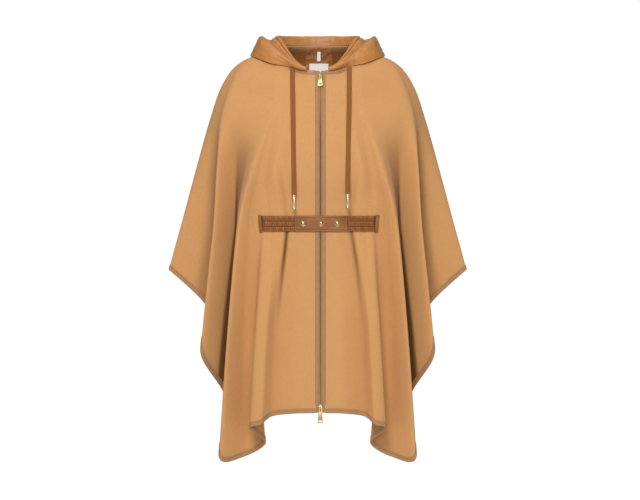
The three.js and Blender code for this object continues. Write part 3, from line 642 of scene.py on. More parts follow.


# Both faces of a stretch of the cape, for spans of (side, first line, last line) in order, with the
# place on the cloth and the fold attribute, the painted shade, of each point
def capeGrids(spans, folds):
    u = np.concatenate([np.linspace(a, b, abs(b - a) * panelColumns + 1)[first:]
                        for first, (side, a, b) in enumerate(spans)])
    side = np.concatenate([np.full(abs(b - a) * panelColumns + 1 - first, side)
                           for first, (side, a, b) in enumerate(spans)])
    v = panelHeights()[:, None]
    plain = capePoint(side, u, v)
    lift = foldLift(plain[..., 0], plain[..., 2], folds)
    facing = smooth((folding["lastLine"] - u) * 2) if u.min() < 1 else np.ones_like(u)
    lift = lift * facing * smooth((hem - v) / folding["ease"]) * smooth(v / folding["ease"])
    outer = capePoint(side, u, v, lift)
    inner = capePoint(side, u, v, lift - cape["wall"])
    run = np.stack([outer[..., 0], outer[..., 2]], axis=-1)
    # fold is painted shade: from the depth in wide and fine folds, the drawn creases and the shadow behind
    # each rim
    fold = folding["wideFoldShade"] * hollow(outer, inner, folding["wide"])
    fold += folding["fineFoldShade"] * hollow(outer, inner, folding["fine"])
    fold += foldLift(plain[..., 0], plain[..., 2], folds, "dark", folding["creaseWidth"]) * facing
    if u.min() < 1:
        for valley in valleys:
            fold += valleyShade(valley, u, v, np.abs(plain[..., 0]))
    return outer, inner, run, fold


sheets = {}
walls = {}
for name, spans, folds in [("frontLeft", [(-1, 0, armLine)], frontFolds),
                           ("frontRight", [(1, 0, armLine)], frontFolds),
                           ("back", [(-1, armLine, backLine), (1, backLine, armLine)], backFolds)]:
    outer, inner, run, fold = capeGrids(spans, folds)
    walls[name] = (outer, inner)
    sheets[name] = wallPiece(f"{name}Cloth", outer, inner, "wool", run, 60.0, fold)
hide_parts("front_left")
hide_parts("front_right")
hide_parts("back")
print("cloth panels made")


# Bindings: grosgrain folded round an edge of the cloth

bindingCut = {"width": 10.5 * mm, "thick": 0.8 * mm, "clear": 0.5 * mm, "turn": 5, "leastSlant": 0.3,
              "groove": 3, "grooveShade": 0.75, "seam": 1}
seams = []


def bindingRings(side, u, edge, lift):
    inwards = -1.0 if edge == hem else 1.0
    nudge = 0.02
    start = capePoint(side, u, edge)
    run = unit(capePoint(side, u + nudge, edge) - capePoint(side, u - nudge, edge))
    fall = unit(capePoint(side, u, edge + inwards * nudge) - start)
    slant = np.maximum(bindingCut["leastSlant"], np.linalg.norm(np.cross(run, fall), axis=-1))
    steps = np.linspace(0, 0.4, 60)[:, None]
    reached = np.linalg.norm(capePoint(side, u, edge + inwards * steps) - start, axis=-1) * slant
    away = -fall / slant[:, None]
    near = bindingCut["clear"]
    far = near + bindingCut["thick"]
    middle = -cape["wall"] / 2
    bend = [math.pi * k / bindingCut["turn"] for k in range(bindingCut["turn"] + 1)]
    outline = [(1, far - 0.0001, 0), (0.9, far + 0.0001, 0), (0.66, far, 0), (0.6, far - 0.00025, 0),
               (0.54, far, 0), (0.3, far + 0.0002, 0)]
    outline += [(0, middle + (far - middle) * math.cos(a), far * math.sin(a)) for a in bend]
    outline += [(0.5, 2 * middle - far, 0), (1, 2 * middle - far, 0), (1, 2 * middle - near, 0)]
    outline += [(0, 2 * middle - near, 0), (0, near, 0), (1, near, 0)]
    rings = []
    for share, off, past in outline:
        width = share * bindingCut["width"]
        v = [np.interp(width, reached[:, k], steps[:, 0]) for k in range(len(u))]
        point = capePoint(side, u, edge + inwards * np.array(v), off + lift)
        rings.append(point + away * past)
    rings = np.stack(rings, axis=1)
    length = np.concatenate([[0], np.cumsum(np.linalg.norm(np.diff(start, axis=0), axis=1))])
    across = np.linspace(0, 2 * bindingCut["width"], len(outline))
    return rings, np.stack(np.broadcast_arrays(length[:, None], across[None]), axis=-1)


def bindingPiece(name, spans, edge, nodes):
    u = np.concatenate([np.linspace(a, b, abs(b - a) * panelColumns + 1)[first:]
                        for first, (side, a, b) in enumerate(spans)])
    side = np.concatenate([np.full(abs(b - a) * panelColumns + 1 - first, side)
                           for first, (side, a, b) in enumerate(spans)])
    rings, run = bindingRings(side, u, edge, 0.0)
    # Painted shade along the binding's groove, carried in the fold attribute
    middle = np.zeros(rings.shape[1])
    middle[bindingCut["groove"]] = bindingCut["grooveShade"]
    piece = loftPiece(name, rings, "tape", run, 60.0, middle)
    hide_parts(*nodes)
    seams.append(rings[:, bindingCut["seam"]])
    return piece


bindings = {
    "frontLeft": bindingPiece("hemBindingFrontLeft", [(-1, 0, armLine)], hem, ["hem_binding_front_left"]),
    "frontRight": bindingPiece("hemBindingFrontRight", [(1, 0, armLine)], hem, ["hem_binding_front_right"]),
    "back": bindingPiece("hemBindingBack", [(-1, armLine, backLine), (1, backLine, armLine)], hem,
                         ["hem_binding_back"]),
    "neck": bindingPiece("neckBinding", [(-1, 0, backLine), (1, backLine, 0)], 0,
                         ["neck_binding_left", "neck_binding_right"]),
}
print("bindings made")


# Closing: a grosgrain band down each front edge and the coil between them

band = {"top": 0.0, "bottom": hem, "rows": 160, "crown": 0.5 * mm, "rim": 0.35 * mm, "thick": 1.5 * mm,
        "edges": [0, 3, 7], "edgeShade": 0.7, "line": 5, "lineDark": 0.25, "seam": 6}


def closingPoint(v):
    left, right = capePoint(-1, 0.0, v), capePoint(1, 0.0, v)
    return (left + right) / 2


def bandPiece(name, side, node):
    v = np.linspace(band["top"], band["bottom"], band["rows"])
    spine = closingPoint(v)
    inner, outer = closing["halfGap"], closing["halfBand"]
    width = outer - inner
    outline = [(0, 0.1 * mm), (0.04, band["crown"]), (0.2, band["crown"]), (0.27, -0.05 * mm),
               (0.34, band["rim"]), (0.6, band["rim"] * 1.3), (0.9, band["rim"]), (1, -0.2 * mm)]
    front = [(inner + share * width, -height) for share, height in outline]
    ring = front + [(outer, band["thick"]), (inner, band["thick"])]
    rings = np.stack([spine + np.array([side * x, y, 0]) for x, y in ring], axis=1)
    length = np.concatenate([[0], np.cumsum(np.linalg.norm(np.diff(spine, axis=0), axis=1))])
    across = np.linspace(0, 2 * width, len(ring))
    run = np.stack(np.broadcast_arrays(length[:, None], across[None]), axis=-1)
    # Painted shade at the band's edges and its groove; line is a darker line along its rim
    fold = np.zeros(len(ring))
    fold[band["edges"]] = band["edgeShade"]
    fold[band["line"]] = band["lineDark"]
    piece = loftPiece(name, rings, "tape", run, 50.0, fold)
    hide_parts(node)
    seams.append(rings[:, band["seam"]])
    return piece


bands = [bandPiece("bandLeft", -1, "front_band_left"), bandPiece("bandRight", 1, "front_band_right")]

coil = {"pitch": 1.5 * mm, "length": 1.9 * mm, "thick": 0.85 * mm, "top": 0.16, "bottom": 6.96}


def coilPiece():
    v = np.linspace(coil["top"], coil["bottom"], 400)
    spine = closingPoint(v)
    length = np.concatenate([[0], np.cumsum(np.linalg.norm(np.diff(spine, axis=0), axis=1))])
    turns = int(length[-1] / coil["pitch"])
    half = np.array([coil["length"] / 2, coil["thick"] * 0.8, coil["thick"] / 2])
    corners = np.array([[x, y, z] for x in (-1, 1) for y in (-1, 1) for z in (-1, 1)]) * half
    faces = [[0, 1, 3, 2], [4, 6, 7, 5], [0, 4, 5, 1], [2, 3, 7, 6], [0, 2, 6, 4], [1, 5, 7, 3]]
    points, allFaces = [], []
    for k in range(turns):
        along = (k + 0.5) * coil["pitch"]
        centre = np.array([np.interp(along, length, spine[:, c]) for c in range(3)])
        side = 1 if k % 2 else -1
        start = len(points) * 8
        points.append(corners + centre + np.array([side * 0.45 * mm, 0.55 * mm, 0]))
        allFaces += [[start + i for i in f] for f in faces]
    return addPiece("zipCoil", np.concatenate(points), allFaces, "chain", None, 30.0)


chain = coilPiece()
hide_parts("zip_chain")
print("closing made")


# Ways to find the cloth's surface under trim

def surfaceTree(grids):
    points, faces, start = [], [], 0
    for grid in grids:
        rows, columns = grid.shape[:2]
        faces += gridFaces(rows, columns, start)
        points += grid.reshape(-1, 3).tolist()
        start += rows * columns
    return BVHTree.FromPolygons(points, faces)


closingLine = closingPoint(np.linspace(0, hem, 200))
closingGrid = np.stack([closingLine + np.array([x, 0, 0])
                        for x in (-closing["halfBand"] - 0.0006, closing["halfBand"] + 0.0006)], axis=1)
frontTree = surfaceTree([walls["frontLeft"][0], walls["frontRight"][0], closingGrid])
insideTree = surfaceTree([walls["back"][1]])


# The front's surface at x and z, moved off towards the viewer
def onFront(x, z, off=0.0):
    hit, normal, _, _ = frontTree.ray_cast(Vector((x, -0.5, z)), Vector((0, 1, 0)))
    normal = normal if normal.y < 0 else -normal
    return hit + normal * off, normal


# The back's inner surface at x and z, moved off towards the wearer
def onInside(x, z, off=0.0):
    hit, normal, _, _ = insideTree.ray_cast(Vector((x, 0.0, z)), Vector((0, 1, 0)))
    normal = normal if normal.y < 0 else -normal
    return hit + normal * off, normal


# Belt: a leather tab with three studs between two ruched lengths, each leaving through a bound slit

belt = {"z": -449.5 * mm, "height": 39 * mm, "tab": (-58 * mm, 75 * mm), "tabThick": 3.2 * mm,
        "rim": 0.9 * mm, "clear": 0.9 * mm, "bridge": 0.65}
tabEdge = {"rimWidth": 3.6 * mm, "rimEase": 1.0 * mm, "groove": 0.45 * mm, "grooveAt": 4.3 * mm,
           "grooveWidth": 0.5 * mm, "round": 0.9 * mm, "dents": 0.5 * mm, "sewing": 4.6 * mm,
           "reach": 1.5 * mm, "dark": 1.2}


def beltGrids(start, end, columns, rows, face, base=0.0):
    outer = np.empty((rows + 1, columns + 1, 3))
    inner = np.empty((rows + 1, columns + 1, 3))
    for j in range(columns + 1):
        x = start + (end - start) * j / columns
        spot, _ = onFront(x, belt["z"], belt["clear"])
        for i in range(rows + 1):
            z = belt["z"] + belt["height"] * (0.5 - i / rows)
            here, _ = onFront(x, z, belt["clear"])
            y = here.y + belt["bridge"] * (spot.y - here.y) if here.y > spot.y else here.y
            lift = face(j / columns, i / rows)
            outer[i, j] = (x, y - lift, z)
            inner[i, j] = (x, y - base, z)
    run = np.stack([outer[..., 0], outer[..., 2]], axis=-1)
    return outer, inner, run


def tabFace(s, t):
    length = belt["tab"][1] - belt["tab"][0]
    edge = min(min(s, 1 - s) * length, min(t, 1 - t) * belt["height"])
    rim = belt["rim"] * (1 - smooth((edge - tabEdge["rimWidth"]) / tabEdge["rimEase"]))
    seam = tabEdge["groove"] * math.exp(-(((edge - tabEdge["grooveAt"]) / tabEdge["grooveWidth"]) ** 2))
    rounding = tabEdge["round"] * (1 - smooth(edge / tabEdge["round"]))
    dents = tabEdge["dents"] * noise.noise(Vector((s * 9, t * 1.5, 3.0)))
    return float(belt["tabThick"] + rim - seam - rounding + dents)


ruche = {"rows": 3, "thick": 2.0 * mm, "rise": 3.5 * mm, "gathers": 17, "uneven": 0.8,
         "gatherReach": 2.0 * mm, "gatherShade": 2.6, "rowReach": 2.2 * mm, "rowShade": 2.4}


def rucheFace(seed):
    def face(s, t):
        row = min(ruche["rows"] - 1, int(t * ruche["rows"]))
        inRow = t * ruche["rows"] - row
        crown = abs(math.sin(math.pi * inRow)) ** 0.6
        wander = ruche["uneven"] * noise.noise(Vector((s * 7, row * 5.0 + seed, 1.0)))
        phase = 2 * math.pi * (ruche["gathers"] * s + wander) + row * 1.9
        slant = 1.2 * (inRow - 0.5) * noise.noise(Vector((s * 5, row * 3.0, seed)))
        gather = 0.5 + 0.5 * math.cos(phase + slant)
        fine = 0.5 + 0.5 * math.cos(2.3 * phase + 1.7)
        depth = 0.52 + 0.34 * gather + 0.14 * fine
        return ruche["thick"] + ruche["rise"] * crown * depth
    return face


beltPieces = []
outer, inner, run = beltGrids(*belt["tab"], 130, 44, tabFace)
# Painted shade in the tab's hollows: its sewing groove and the foot of its raised rim
tabHollowShade = tabEdge["dark"] * sum(hollow(outer, inner, tabEdge["reach"], axis) for axis in (1, 0))
beltTab = wallPiece("beltTab", outer, inner, "leather", run, 60.0, tabHollowShade)
tabTree = surfaceTree([outer])
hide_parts("belt_tab")
for side, start, end, seed in [("left", -136.2 * mm, belt["tab"][0] - 0.3 * mm, 2.0),
                               ("right", belt["tab"][1] + 0.3 * mm, 141 * mm, 9.0)]:
    outer, inner, run = beltGrids(start, end, 190, 60, rucheFace(seed))
    # Painted shade in the hollows between the gathers and between the rows
    gathers = ruche["gatherShade"] * hollow(outer, inner, ruche["gatherReach"])
    gathers += ruche["rowShade"] * hollow(outer, inner, ruche["rowReach"], 0)
    piece = wallPiece(f"beltRuched{side.title()}", outer, inner, "ruched", run, 70.0, gathers)
    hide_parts(f"belt_ruched_{side}")
    beltPieces.append(piece)

welt = {"left": -138.5 * mm, "right": 143 * mm, "width": 8 * mm, "height": 44 * mm, "lean": 4 * mm,
        "thick": 2.6 * mm, "crown": 0.9 * mm, "round": 1.2 * mm, "groove": 0.5 * mm, "grooveAt": 0.72,
        "grooveWidth": 0.08}


def weltPiece(side):
    start = welt[side]
    sign = 1 if start > 0 else -1
    rows, columns = 24, 10
    outer = np.empty((rows + 1, columns + 1, 3))
    inner = np.empty((rows + 1, columns + 1, 3))
    for i in range(rows + 1):
        for j in range(columns + 1):
            s, t = j / columns, i / rows
            z = belt["z"] + welt["height"] * (0.5 - t)
            x = start + sign * (s * welt["width"] + welt["lean"] * (0.5 - t))
            end = min(t, 1 - t) * welt["height"]
            rounding = welt["thick"] * 0.3 * (1 - smooth(min(end, s * welt["width"]) / welt["round"]))
            groove = welt["groove"] * math.exp(-(((s - welt["grooveAt"]) / welt["grooveWidth"]) ** 2))
            lift = welt["thick"] + welt["crown"] * math.sin(math.pi * s) - rounding - groove
            outer[i, j] = onFront(x, z, belt["clear"] + lift)[0]
            inner[i, j] = onFront(x, z, belt["clear"])[0]
    run = np.stack([outer[..., 0], outer[..., 2]], axis=-1)
    piece = wallPiece(f"beltWelt{side.title()}", outer, inner, "leather", run, 60.0)
    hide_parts(f"belt_welt_{side}")
    return piece


beltPieces += [weltPiece("left"), weltPiece("right")]


# The dark mouth of each slit, between its welt and the ruched length that comes out of it: a near-black
# sheet, painted shadow for the slit's shaded inside
mouthLift = 0.9 * mm


def mouthPiece(side, start, end):
    outer, inner, run = beltGrids(start, end, 8, 20, lambda s, t: mouthLift)
    return wallPiece(f"beltMouth{side.title()}", outer, inner, "shadow", run, 60.0)


mouths = {"left": (-141.5 * mm, -132.5 * mm), "right": (137.5 * mm, 146 * mm)}
beltPieces += [mouthPiece(side, *ends) for side, ends in mouths.items()]


# Sewing on the belt tab, just inside its edge
def tabStitches():
    low, high = belt["tab"][0] + tabEdge["sewing"], belt["tab"][1] - tabEdge["sewing"]
    top, bottom = (belt["z"] + way * (belt["height"] / 2 - tabEdge["sewing"]) for way in (1, -1))
    corners = [(low, top), (high, top), (high, bottom), (low, bottom), (low, top)]
    paths = []
    for (x0, z0), (x1, z1) in zip(corners, corners[1:]):
        spots = [Vector((x0 + (x1 - x0) * t, -0.5, z0 + (z1 - z0) * t)) for t in np.linspace(0, 1, 60)]
        paths.append(np.array([tabTree.ray_cast(spot, Vector((0, 1, 0)))[0] for spot in spots]))
    return paths


# Faint five-sided patches sewn behind the belt's ends, as corners (x, z)
patches = [
    [(-166, -422), (-125, -405)], [(-165, -430), (-160, -455), (-151, -490)], [(-150, -494), (-125, -482)],
    [(127, -403), (168, -420)], [(168, -420), (165, -455), (155, -493)], [(124, -481), (155, -494)],
]


def patchPath(corners):
    places = np.array(corners) * mm
    run = np.linspace(0, len(places) - 1, 24 * (len(places) - 1) + 1)
    xs, zs = (np.interp(run, np.arange(len(places)), places[:, c]) for c in range(2))
    return np.array([onFront(x, z, 0.1 * mm)[0] for x, z in zip(xs, zs)])


sewing = stitchPiece("beltStitches", tabStitches() + [patchPath(corners) for corners in patches])
beltPieces.append(sewing)
print("belt made")


# Hood, in two halves: r and z in millimetres at seven places from its outer border in to its inner
# edge, for each angle from the front

hoodSections = [
    (19, [(84, -66), (86.8, -64.6), (88, -62.6), (87.6, -60.6), (86.6, -59), (85, -57.9), (81.4, -57.6)]),
    (34, [(86, -63), (91, -58), (92, -53.5), (89, -50), (86, -47.5), (83, -46.5), (77.5, -50)]),
    (54, [(93, -55), (99, -44), (99, -35), (89, -33), (85, -29), (80, -26), (73, -33)]),
    (68, [(128, -46), (126, -27), (116, -9), (99, -15), (92, -11), (86, -5), (77, -16)]),
    (80, [(152, -34), (148, -16), (136, 9), (112, 3), (102, 9), (94, 16), (82, 3)]),
    (92, [(168, -28), (157, -6), (143, 22), (123, 13), (111, 17), (101, 22), (89, 7)]),
    (106, [(172, -31), (164, -6), (147, 20), (123, 5), (112, 15), (100, 24), (87, 3)]),
    (125, [(166, -82), (168, -32), (148, 16), (122, -20), (108, 4), (92, 24), (82, 1)]),
    (150, [(144, -180), (170, -92), (146, 12), (126, -88), (108, -20), (83, 24), (71.5, 0.4)]),
    (180, [(128, -236), (170, -128), (144, 8), (126, -136), (106, -30), (78, 24), (66, -0.4)]),
]
hoodCut = {"seat": 1.35, "wallFront": 1.5 * mm, "wall": 2.6 * mm, "fullFrom": 6, "columns": 16, "rows": 96}


def hoodLine(angle, places):
    turn = math.radians(angle)
    return [(r * math.sin(turn), -r * math.cos(turn), z - hoodCut["seat"]) for r, z in places]


hoodNet = spareEnds(np.array([hoodLine(*section) for section in hoodSections]) * mm)
lastSection = len(hoodSections) - 1


def hoodPoint(side, a, b, lift=0.0):
    a, b, lift = np.broadcast_arrays(a, b, lift)
    point, across, inwards = netSurface(hoodNet, a, b)
    point = point + unit(np.cross(across, inwards)) * lift[..., None]
    point[..., 0] *= side
    return point


# Soft wrinkles of the hood's nylon: long ones that run round it, and short ones off its casing seam
casing = {"at": 4.25, "width": 0.09, "depth": 1.7, "reach": 4 * mm, "dark": 1.5, "wide": 22 * mm,
          "wideShade": 0.4, "bandFrom": 6.5, "bandIn": 3.2, "bandShade": 0.2}


def hoodLift(side, a, b):
    lift = np.zeros(np.broadcast(a, b).shape)
    aa, bb = np.broadcast_arrays(a, b)
    for index in np.ndindex(lift.shape):
        s, t = aa[index], bb[index]
        long = noise.noise(Vector((s * 0.9 + side * 3.1, t * 2.6, 7.0)))
        short = noise.noise(Vector((s * 5.5, t * 1.6 + side, 2.0)))
        fine = noise.noise(Vector((s * 3.0 + 9.0, t * 6.0, side * 4.0)))
        lift[index] = 1.1 * long + 0.7 * short + 0.5 * fine
    seam = np.exp(-(((bb - casing["at"]) / casing["width"]) ** 2)) * smooth((aa - 0.3) / 1.2)
    edge = smooth(bb / 0.5) * smooth((6 - bb) / 0.35)
    thin = smooth((aa + 0.2) / 3.0)
    return (lift * edge * thin - casing["depth"] * seam) * mm


def hoodPiece(side, name, node):
    a = np.linspace(0, lastSection, lastSection * hoodCut["columns"] + 1)[None, :]
    b = np.linspace(0, 6, hoodCut["rows"] + 1)[:, None]
    lift = hoodLift(side, a, b)
    wall = hoodCut["wallFront"] + (hoodCut["wall"] - hoodCut["wallFront"]) * smooth(a / hoodCut["fullFrom"])
    outer = hoodPoint(side, a, b, lift)
    inner = hoodPoint(side, a, b, lift - wall)
    run = np.stack([outer[..., 0], outer[..., 2]], axis=-1)
    # Painted shade: over the inner part of the hood's back, in the crease of its casing seam and in its wide
    # hollows
    crease = smooth((a - casing["bandFrom"]) / 1.5) * smooth((b - casing["bandIn"]) / 0.6)
    crease = crease * casing["bandShade"]
    crease += casing["dark"] * hollow(outer, inner, casing["reach"], 0)
    crease += casing["wideShade"] * hollow(outer, inner, casing["wide"], 0)
    piece = wallPiece(name, outer, inner, "nylon", run, 70.0, crease)
    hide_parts(node)
    return piece


hoods = [hoodPiece(-1, "hoodLeft", "hood_left"), hoodPiece(1, "hoodRight", "hood_right")]
print("hood made")


# Inside of the back neck: lining at both sides, a gathered nylon panel, a loop and a bare label

inside = {"top": -15 * mm, "bottom": -104 * mm, "panel": (-30 * mm, 36 * mm), "reach": 77 * mm,
          "thick": 0.9 * mm, "clear": 0.6 * mm, "panelTop": -5.5 * mm, "overTape": 1.5 * mm,
          "label": (-21 * mm, 27 * mm, -44.5 * mm, -67 * mm), "onPanel": 3.9 * mm,
          "loop": (-1.25 * mm, 7.25 * mm, -14.5 * mm, -37.5 * mm), "foldShadeReach": 3 * mm}


def insidePiece(name, start, end, top, bottom, columns, rows, lift, face, finish, node):
    outer = np.empty((rows + 1, columns + 1, 3))
    inner = np.empty((rows + 1, columns + 1, 3))
    for i in range(rows + 1):
        for j in range(columns + 1):
            s, t = j / columns, i / rows
            x, z = start + (end - start) * s, top + (bottom - top) * t
            inner[i, j] = onInside(x, z, inside["clear"] + lift)[0]
            outer[i, j] = onInside(x, z, inside["clear"] + lift + inside["thick"] + face(s, t))[0]
    run = np.stack([outer[..., 0], outer[..., 2]], axis=-1)
    # Painted shade in the hollows of each piece's folds, down and across
    folds = 1.2 * hollow(outer, inner, inside["foldShadeReach"], 0)
    folds += 0.8 * hollow(outer, inner, inside["foldShadeReach"])
    piece = wallPiece(name, outer, inner, finish, run, 60.0, folds)
    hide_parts(node)
    return piece


# Wavy folds across the panel, and small gathers at the seams on both its sides
def panelFolds(s, t):
    drift = 1.6 * noise.noise(Vector((s * 2.4, t * 1.4, 1.0))) + 0.5 * math.sin(2.2 * math.pi * s)
    wave = 0.5 + 0.5 * math.sin(2 * math.pi * (4.6 * t + drift))
    edge = 1 - smooth(min(s, 1 - s) / 0.16)
    gather = 0.5 + 0.5 * math.sin(2 * math.pi * 11 * t + 2.0 * noise.noise(Vector((s * 4, t * 6, 2.0))))
    over = inside["overTape"] * (1 - smooth((t - 0.1) / 0.09))
    return float((1.9 * wave ** 1.4 * (1 - 0.5 * edge) + 0.9 * gather * edge) * mm + over)


def plainFace(s, t):
    return 0.12 * mm * noise.noise(Vector((s * 6, t * 6, 0)))


insidePieces = [
    insidePiece("nylonPanel", *inside["panel"], inside["panelTop"], inside["bottom"], 90, 120, 0.0,
                panelFolds, "panel", "nylon_panel"),
    insidePiece("liningLeft", -inside["reach"], inside["panel"][0] - 0.3 * mm, inside["top"],
                inside["bottom"], 24, 40, 0.0, plainFace, "lining", "lining_left"),
    insidePiece("liningRight", inside["panel"][1] + 0.3 * mm, inside["reach"], inside["top"],
                inside["bottom"], 24, 40, 0.0, plainFace, "lining", "lining_right"),
    insidePiece("neckLabel", *inside["label"], 24, 12, inside["onPanel"], plainFace, "white", "neck_label"),
    insidePiece("hangLoop", *inside["loop"], 6, 14, inside["onPanel"], plainFace, "loop", "hang_loop"),
]
print("inside of the neck made")


# Drawcords hang from under the hood's front corners; their route, in metres

cordCut = {"width": 12.2 * mm, "thick": 3.0 * mm}
cordRoutes = {
    "left": [(-0.0630, -0.0643, -0.0628), (-0.0630, -0.0800, -0.0805), (-0.0627, -0.0923, -0.1005),
             (-0.0624, -0.1007, -0.1226), (-0.0620, -0.1070, -0.1450), (-0.0617, -0.1148, -0.1675),
             (-0.0613, -0.1200, -0.1905), (-0.0610, -0.1235, -0.2138), (-0.0605, -0.1265, -0.2370),
             (-0.0602, -0.1300, -0.2605), (-0.0598, -0.1330, -0.2840), (-0.0595, -0.1362, -0.3070),
             (-0.0592, -0.1366, -0.3310), (-0.0591, -0.1366, -0.3545), (-0.0590, -0.1366, -0.3780)],
    "right": [(0.0790, -0.0598, -0.0590), (0.0790, -0.0765, -0.0760), (0.0788, -0.0886, -0.0960),
              (0.0785, -0.0968, -0.1183), (0.0784, -0.1050, -0.1410), (0.0781, -0.1120, -0.1635),
              (0.0776, -0.1189, -0.1860), (0.0772, -0.1228, -0.2095), (0.0768, -0.1254, -0.2330),
              (0.0763, -0.1280, -0.2570), (0.0760, -0.1313, -0.2800), (0.0755, -0.1347, -0.3040),
              (0.0752, -0.1350, -0.3275), (0.0751, -0.1350, -0.3512), (0.0750, -0.1350, -0.3750)],
}


def cordSpine(points, steps):
    path = np.array(points)
    spare = np.concatenate([[2 * path[0] - path[1]], path, [2 * path[-1] - path[-2]]])
    t = np.linspace(0, len(path) - 1, steps)
    i = np.clip(np.floor(t).astype(int), 0, len(path) - 2)
    near = np.stack([spare[i + k] for k in range(4)])
    return np.einsum("a...,a...k->...k", splineShares(t - i), near)


def cordPiece(side):
    points = cordRoutes[side]
    spine = cordSpine(points, 150)
    down = unit(np.gradient(spine, axis=0))
    across = unit(np.cross(down, np.array([0.0, -1.0, 0.0]))) * -1
    facing = unit(np.cross(across, down))
    turns = [2 * math.pi * k / 16 for k in range(16)]
    outline = [(math.copysign(abs(math.cos(a)) ** 0.45, math.cos(a)) * cordCut["width"] / 2,
                math.copysign(abs(math.sin(a)) ** 0.8, math.sin(a)) * cordCut["thick"] / 2) for a in turns]
    rings = np.stack([spine + across * x + facing * y for x, y in outline], axis=1)
    length = np.concatenate([[0], np.cumsum(np.linalg.norm(np.diff(spine, axis=0), axis=1))])
    offsets = np.array([x for x, y in outline])
    run = np.stack(np.broadcast_arrays(length[:, None], offsets[None]), axis=-1)
    piece = loftPiece(f"drawcord{side.title()}", rings, "cord", run, 60.0)
    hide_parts(f"drawcord_{side}")
    return piece, float(length[-1]), points


# Metal pieces, turned and cut

def selectOnly(piece):
    bpy.ops.object.select_all(action="DESELECT")
    piece.select_set(True)
    bpy.context.view_layer.objects.active = piece


def applyModifiers(piece):
    selectOnly(piece)
    for modifier in list(piece.modifiers):
        bpy.ops.object.modifier_apply(modifier=modifier.name)


def bevelled(piece, width, segments=2):
    modifier = piece.modifiers.new("rounded", "BEVEL")
    modifier.width = width
    modifier.segments = segments
    modifier.limit_method = "ANGLE"
    modifier.angle_limit = math.radians(35)
    applyModifiers(piece)


# Moves a piece that was made round the origin, leaving its object there
def setDown(piece, matrix):
    selectOnly(piece)
    bpy.ops.object.transform_apply(location=True, rotation=True, scale=True)
    piece.data.transform(matrix)
    piece.data.materials.clear()


def finished(piece, name, finish, nodes, body):
    piece.name = name
    piece.data.materials.append(finishes[finish])
    selectOnly(piece)
    bpy.ops.object.shade_smooth_by_angle(angle=math.radians(38))
    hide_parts(*nodes)
    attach(piece, body)
    return piece


# A solid turned from an outline of (radius, height), about the Z axis
def turned(outline, steps=32):
    mesh = bpy.data.meshes.new("turned")
    mesh.from_pydata([(r, 0, z) for r, z in outline], [(k, k + 1) for k in range(len(outline) - 1)], [])
    piece = bpy.data.objects.new("turned", mesh)
    bpy.context.collection.objects.link(piece)
    selectOnly(piece)
    bpy.ops.object.mode_set(mode="EDIT")
    bpy.ops.mesh.select_all(action="SELECT")
    bpy.ops.mesh.spin(steps=steps, angle=2 * math.pi, center=(0, 0, 0), axis=(0, 0, 1))
    bpy.ops.mesh.select_all(action="SELECT")
    bpy.ops.mesh.remove_doubles(threshold=1e-6)
    bpy.ops.mesh.normals_make_consistent(inside=False)
    bpy.ops.object.mode_set(mode="OBJECT")
    return piece


stud = {"xs": (-36 * mm, 8 * mm, 48.5 * mm), "radius": 7 * mm, "rise": 3.6 * mm}


def studOutline(radius, rise):
    places = [(0, 0), (0.96, 0), (1, 0.08), (1, 0.22), (0.95, 0.3), (0.86, 0.3), (0.82, 0.24), (0.78, 0.3),
              (0.74, 0.56), (0.6, 0.8), (0.42, 0.94), (0.22, 1.0), (0, 1.02)]
    return [(r * radius, z * rise) for r, z in places]


for k, x in enumerate(stud["xs"]):
    piece = turned(studOutline(stud["radius"], stud["rise"]))
    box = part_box(f"belt_stud_{k + 1}")
    middle = [(low + high) / 2 for low, high in zip(*box)]
    place = Matrix.Translation((middle[0], box[1][1], middle[2])) @ Matrix.Rotation(math.pi / 2, 4, "X")
    setDown(piece, place)
    finished(piece, f"stud{k + 1}", "gold", [f"belt_stud_{k + 1}"], "cape")


hoodStud = {"at": (2.28, 0.95), "radius": 2.6 * mm, "rise": 1.8 * mm, "sunk": 0.8 * mm}


def hoodSnap():
    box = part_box("hood_stud")
    middle = Vector([(low + high) / 2 for low, high in zip(*box)])
    seat = Vector(hoodPoint(1, *hoodStud["at"])[()])
    out = (Vector(hoodPoint(1, *hoodStud["at"], mm)[()]) - seat).normalized()
    piece = turned(studOutline(hoodStud["radius"], hoodStud["rise"]), 20)
    turn = Vector((0, 0, 1)).rotation_difference(out).to_matrix().to_4x4()
    setDown(piece, Matrix.Translation(middle - out * hoodStud["sunk"]) @ turn)
    finished(piece, "hoodStud", "gold", ["hood_stud"], "cape")


hoodSnap()

tip = {"width": 7.5 * mm, "thick": 5 * mm}


def agletPiece(side):
    low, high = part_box(f"aglet_{side}")
    length = high[2] - low[2]
    r = tip["width"] / 2
    places = [(0, 0), (0.7, 0), (0.92, 0.012), (1, 0.03), (1, 0.1), (0.94, 0.11), (0.94, 0.125), (1, 0.135),
              (1, 0.86), (0.94, 0.87), (0.94, 0.885), (1, 0.895), (1, 0.97), (0.92, 0.99), (0.8, 1), (0, 1)]
    piece = turned([(x * r, z * length) for x, z in places], 24)
    middle = [(a + b) / 2 for a, b in zip(low, high)]
    flat = Matrix.Diagonal((1, tip["thick"] / tip["width"], 1, 1))
    setDown(piece, Matrix.Translation((middle[0], middle[1], low[2])) @ flat)
    return finished(piece, f"aglet{side.title()}", "tipGold", [f"aglet_{side}"], "cape")


for side in ("left", "right"):
    piece, length, points = cordPiece(side)
    aglet = agletPiece(side)
    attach(piece, "cape")
print("drawcords and studs made")


# Zip sliders and the pulls that hang from them

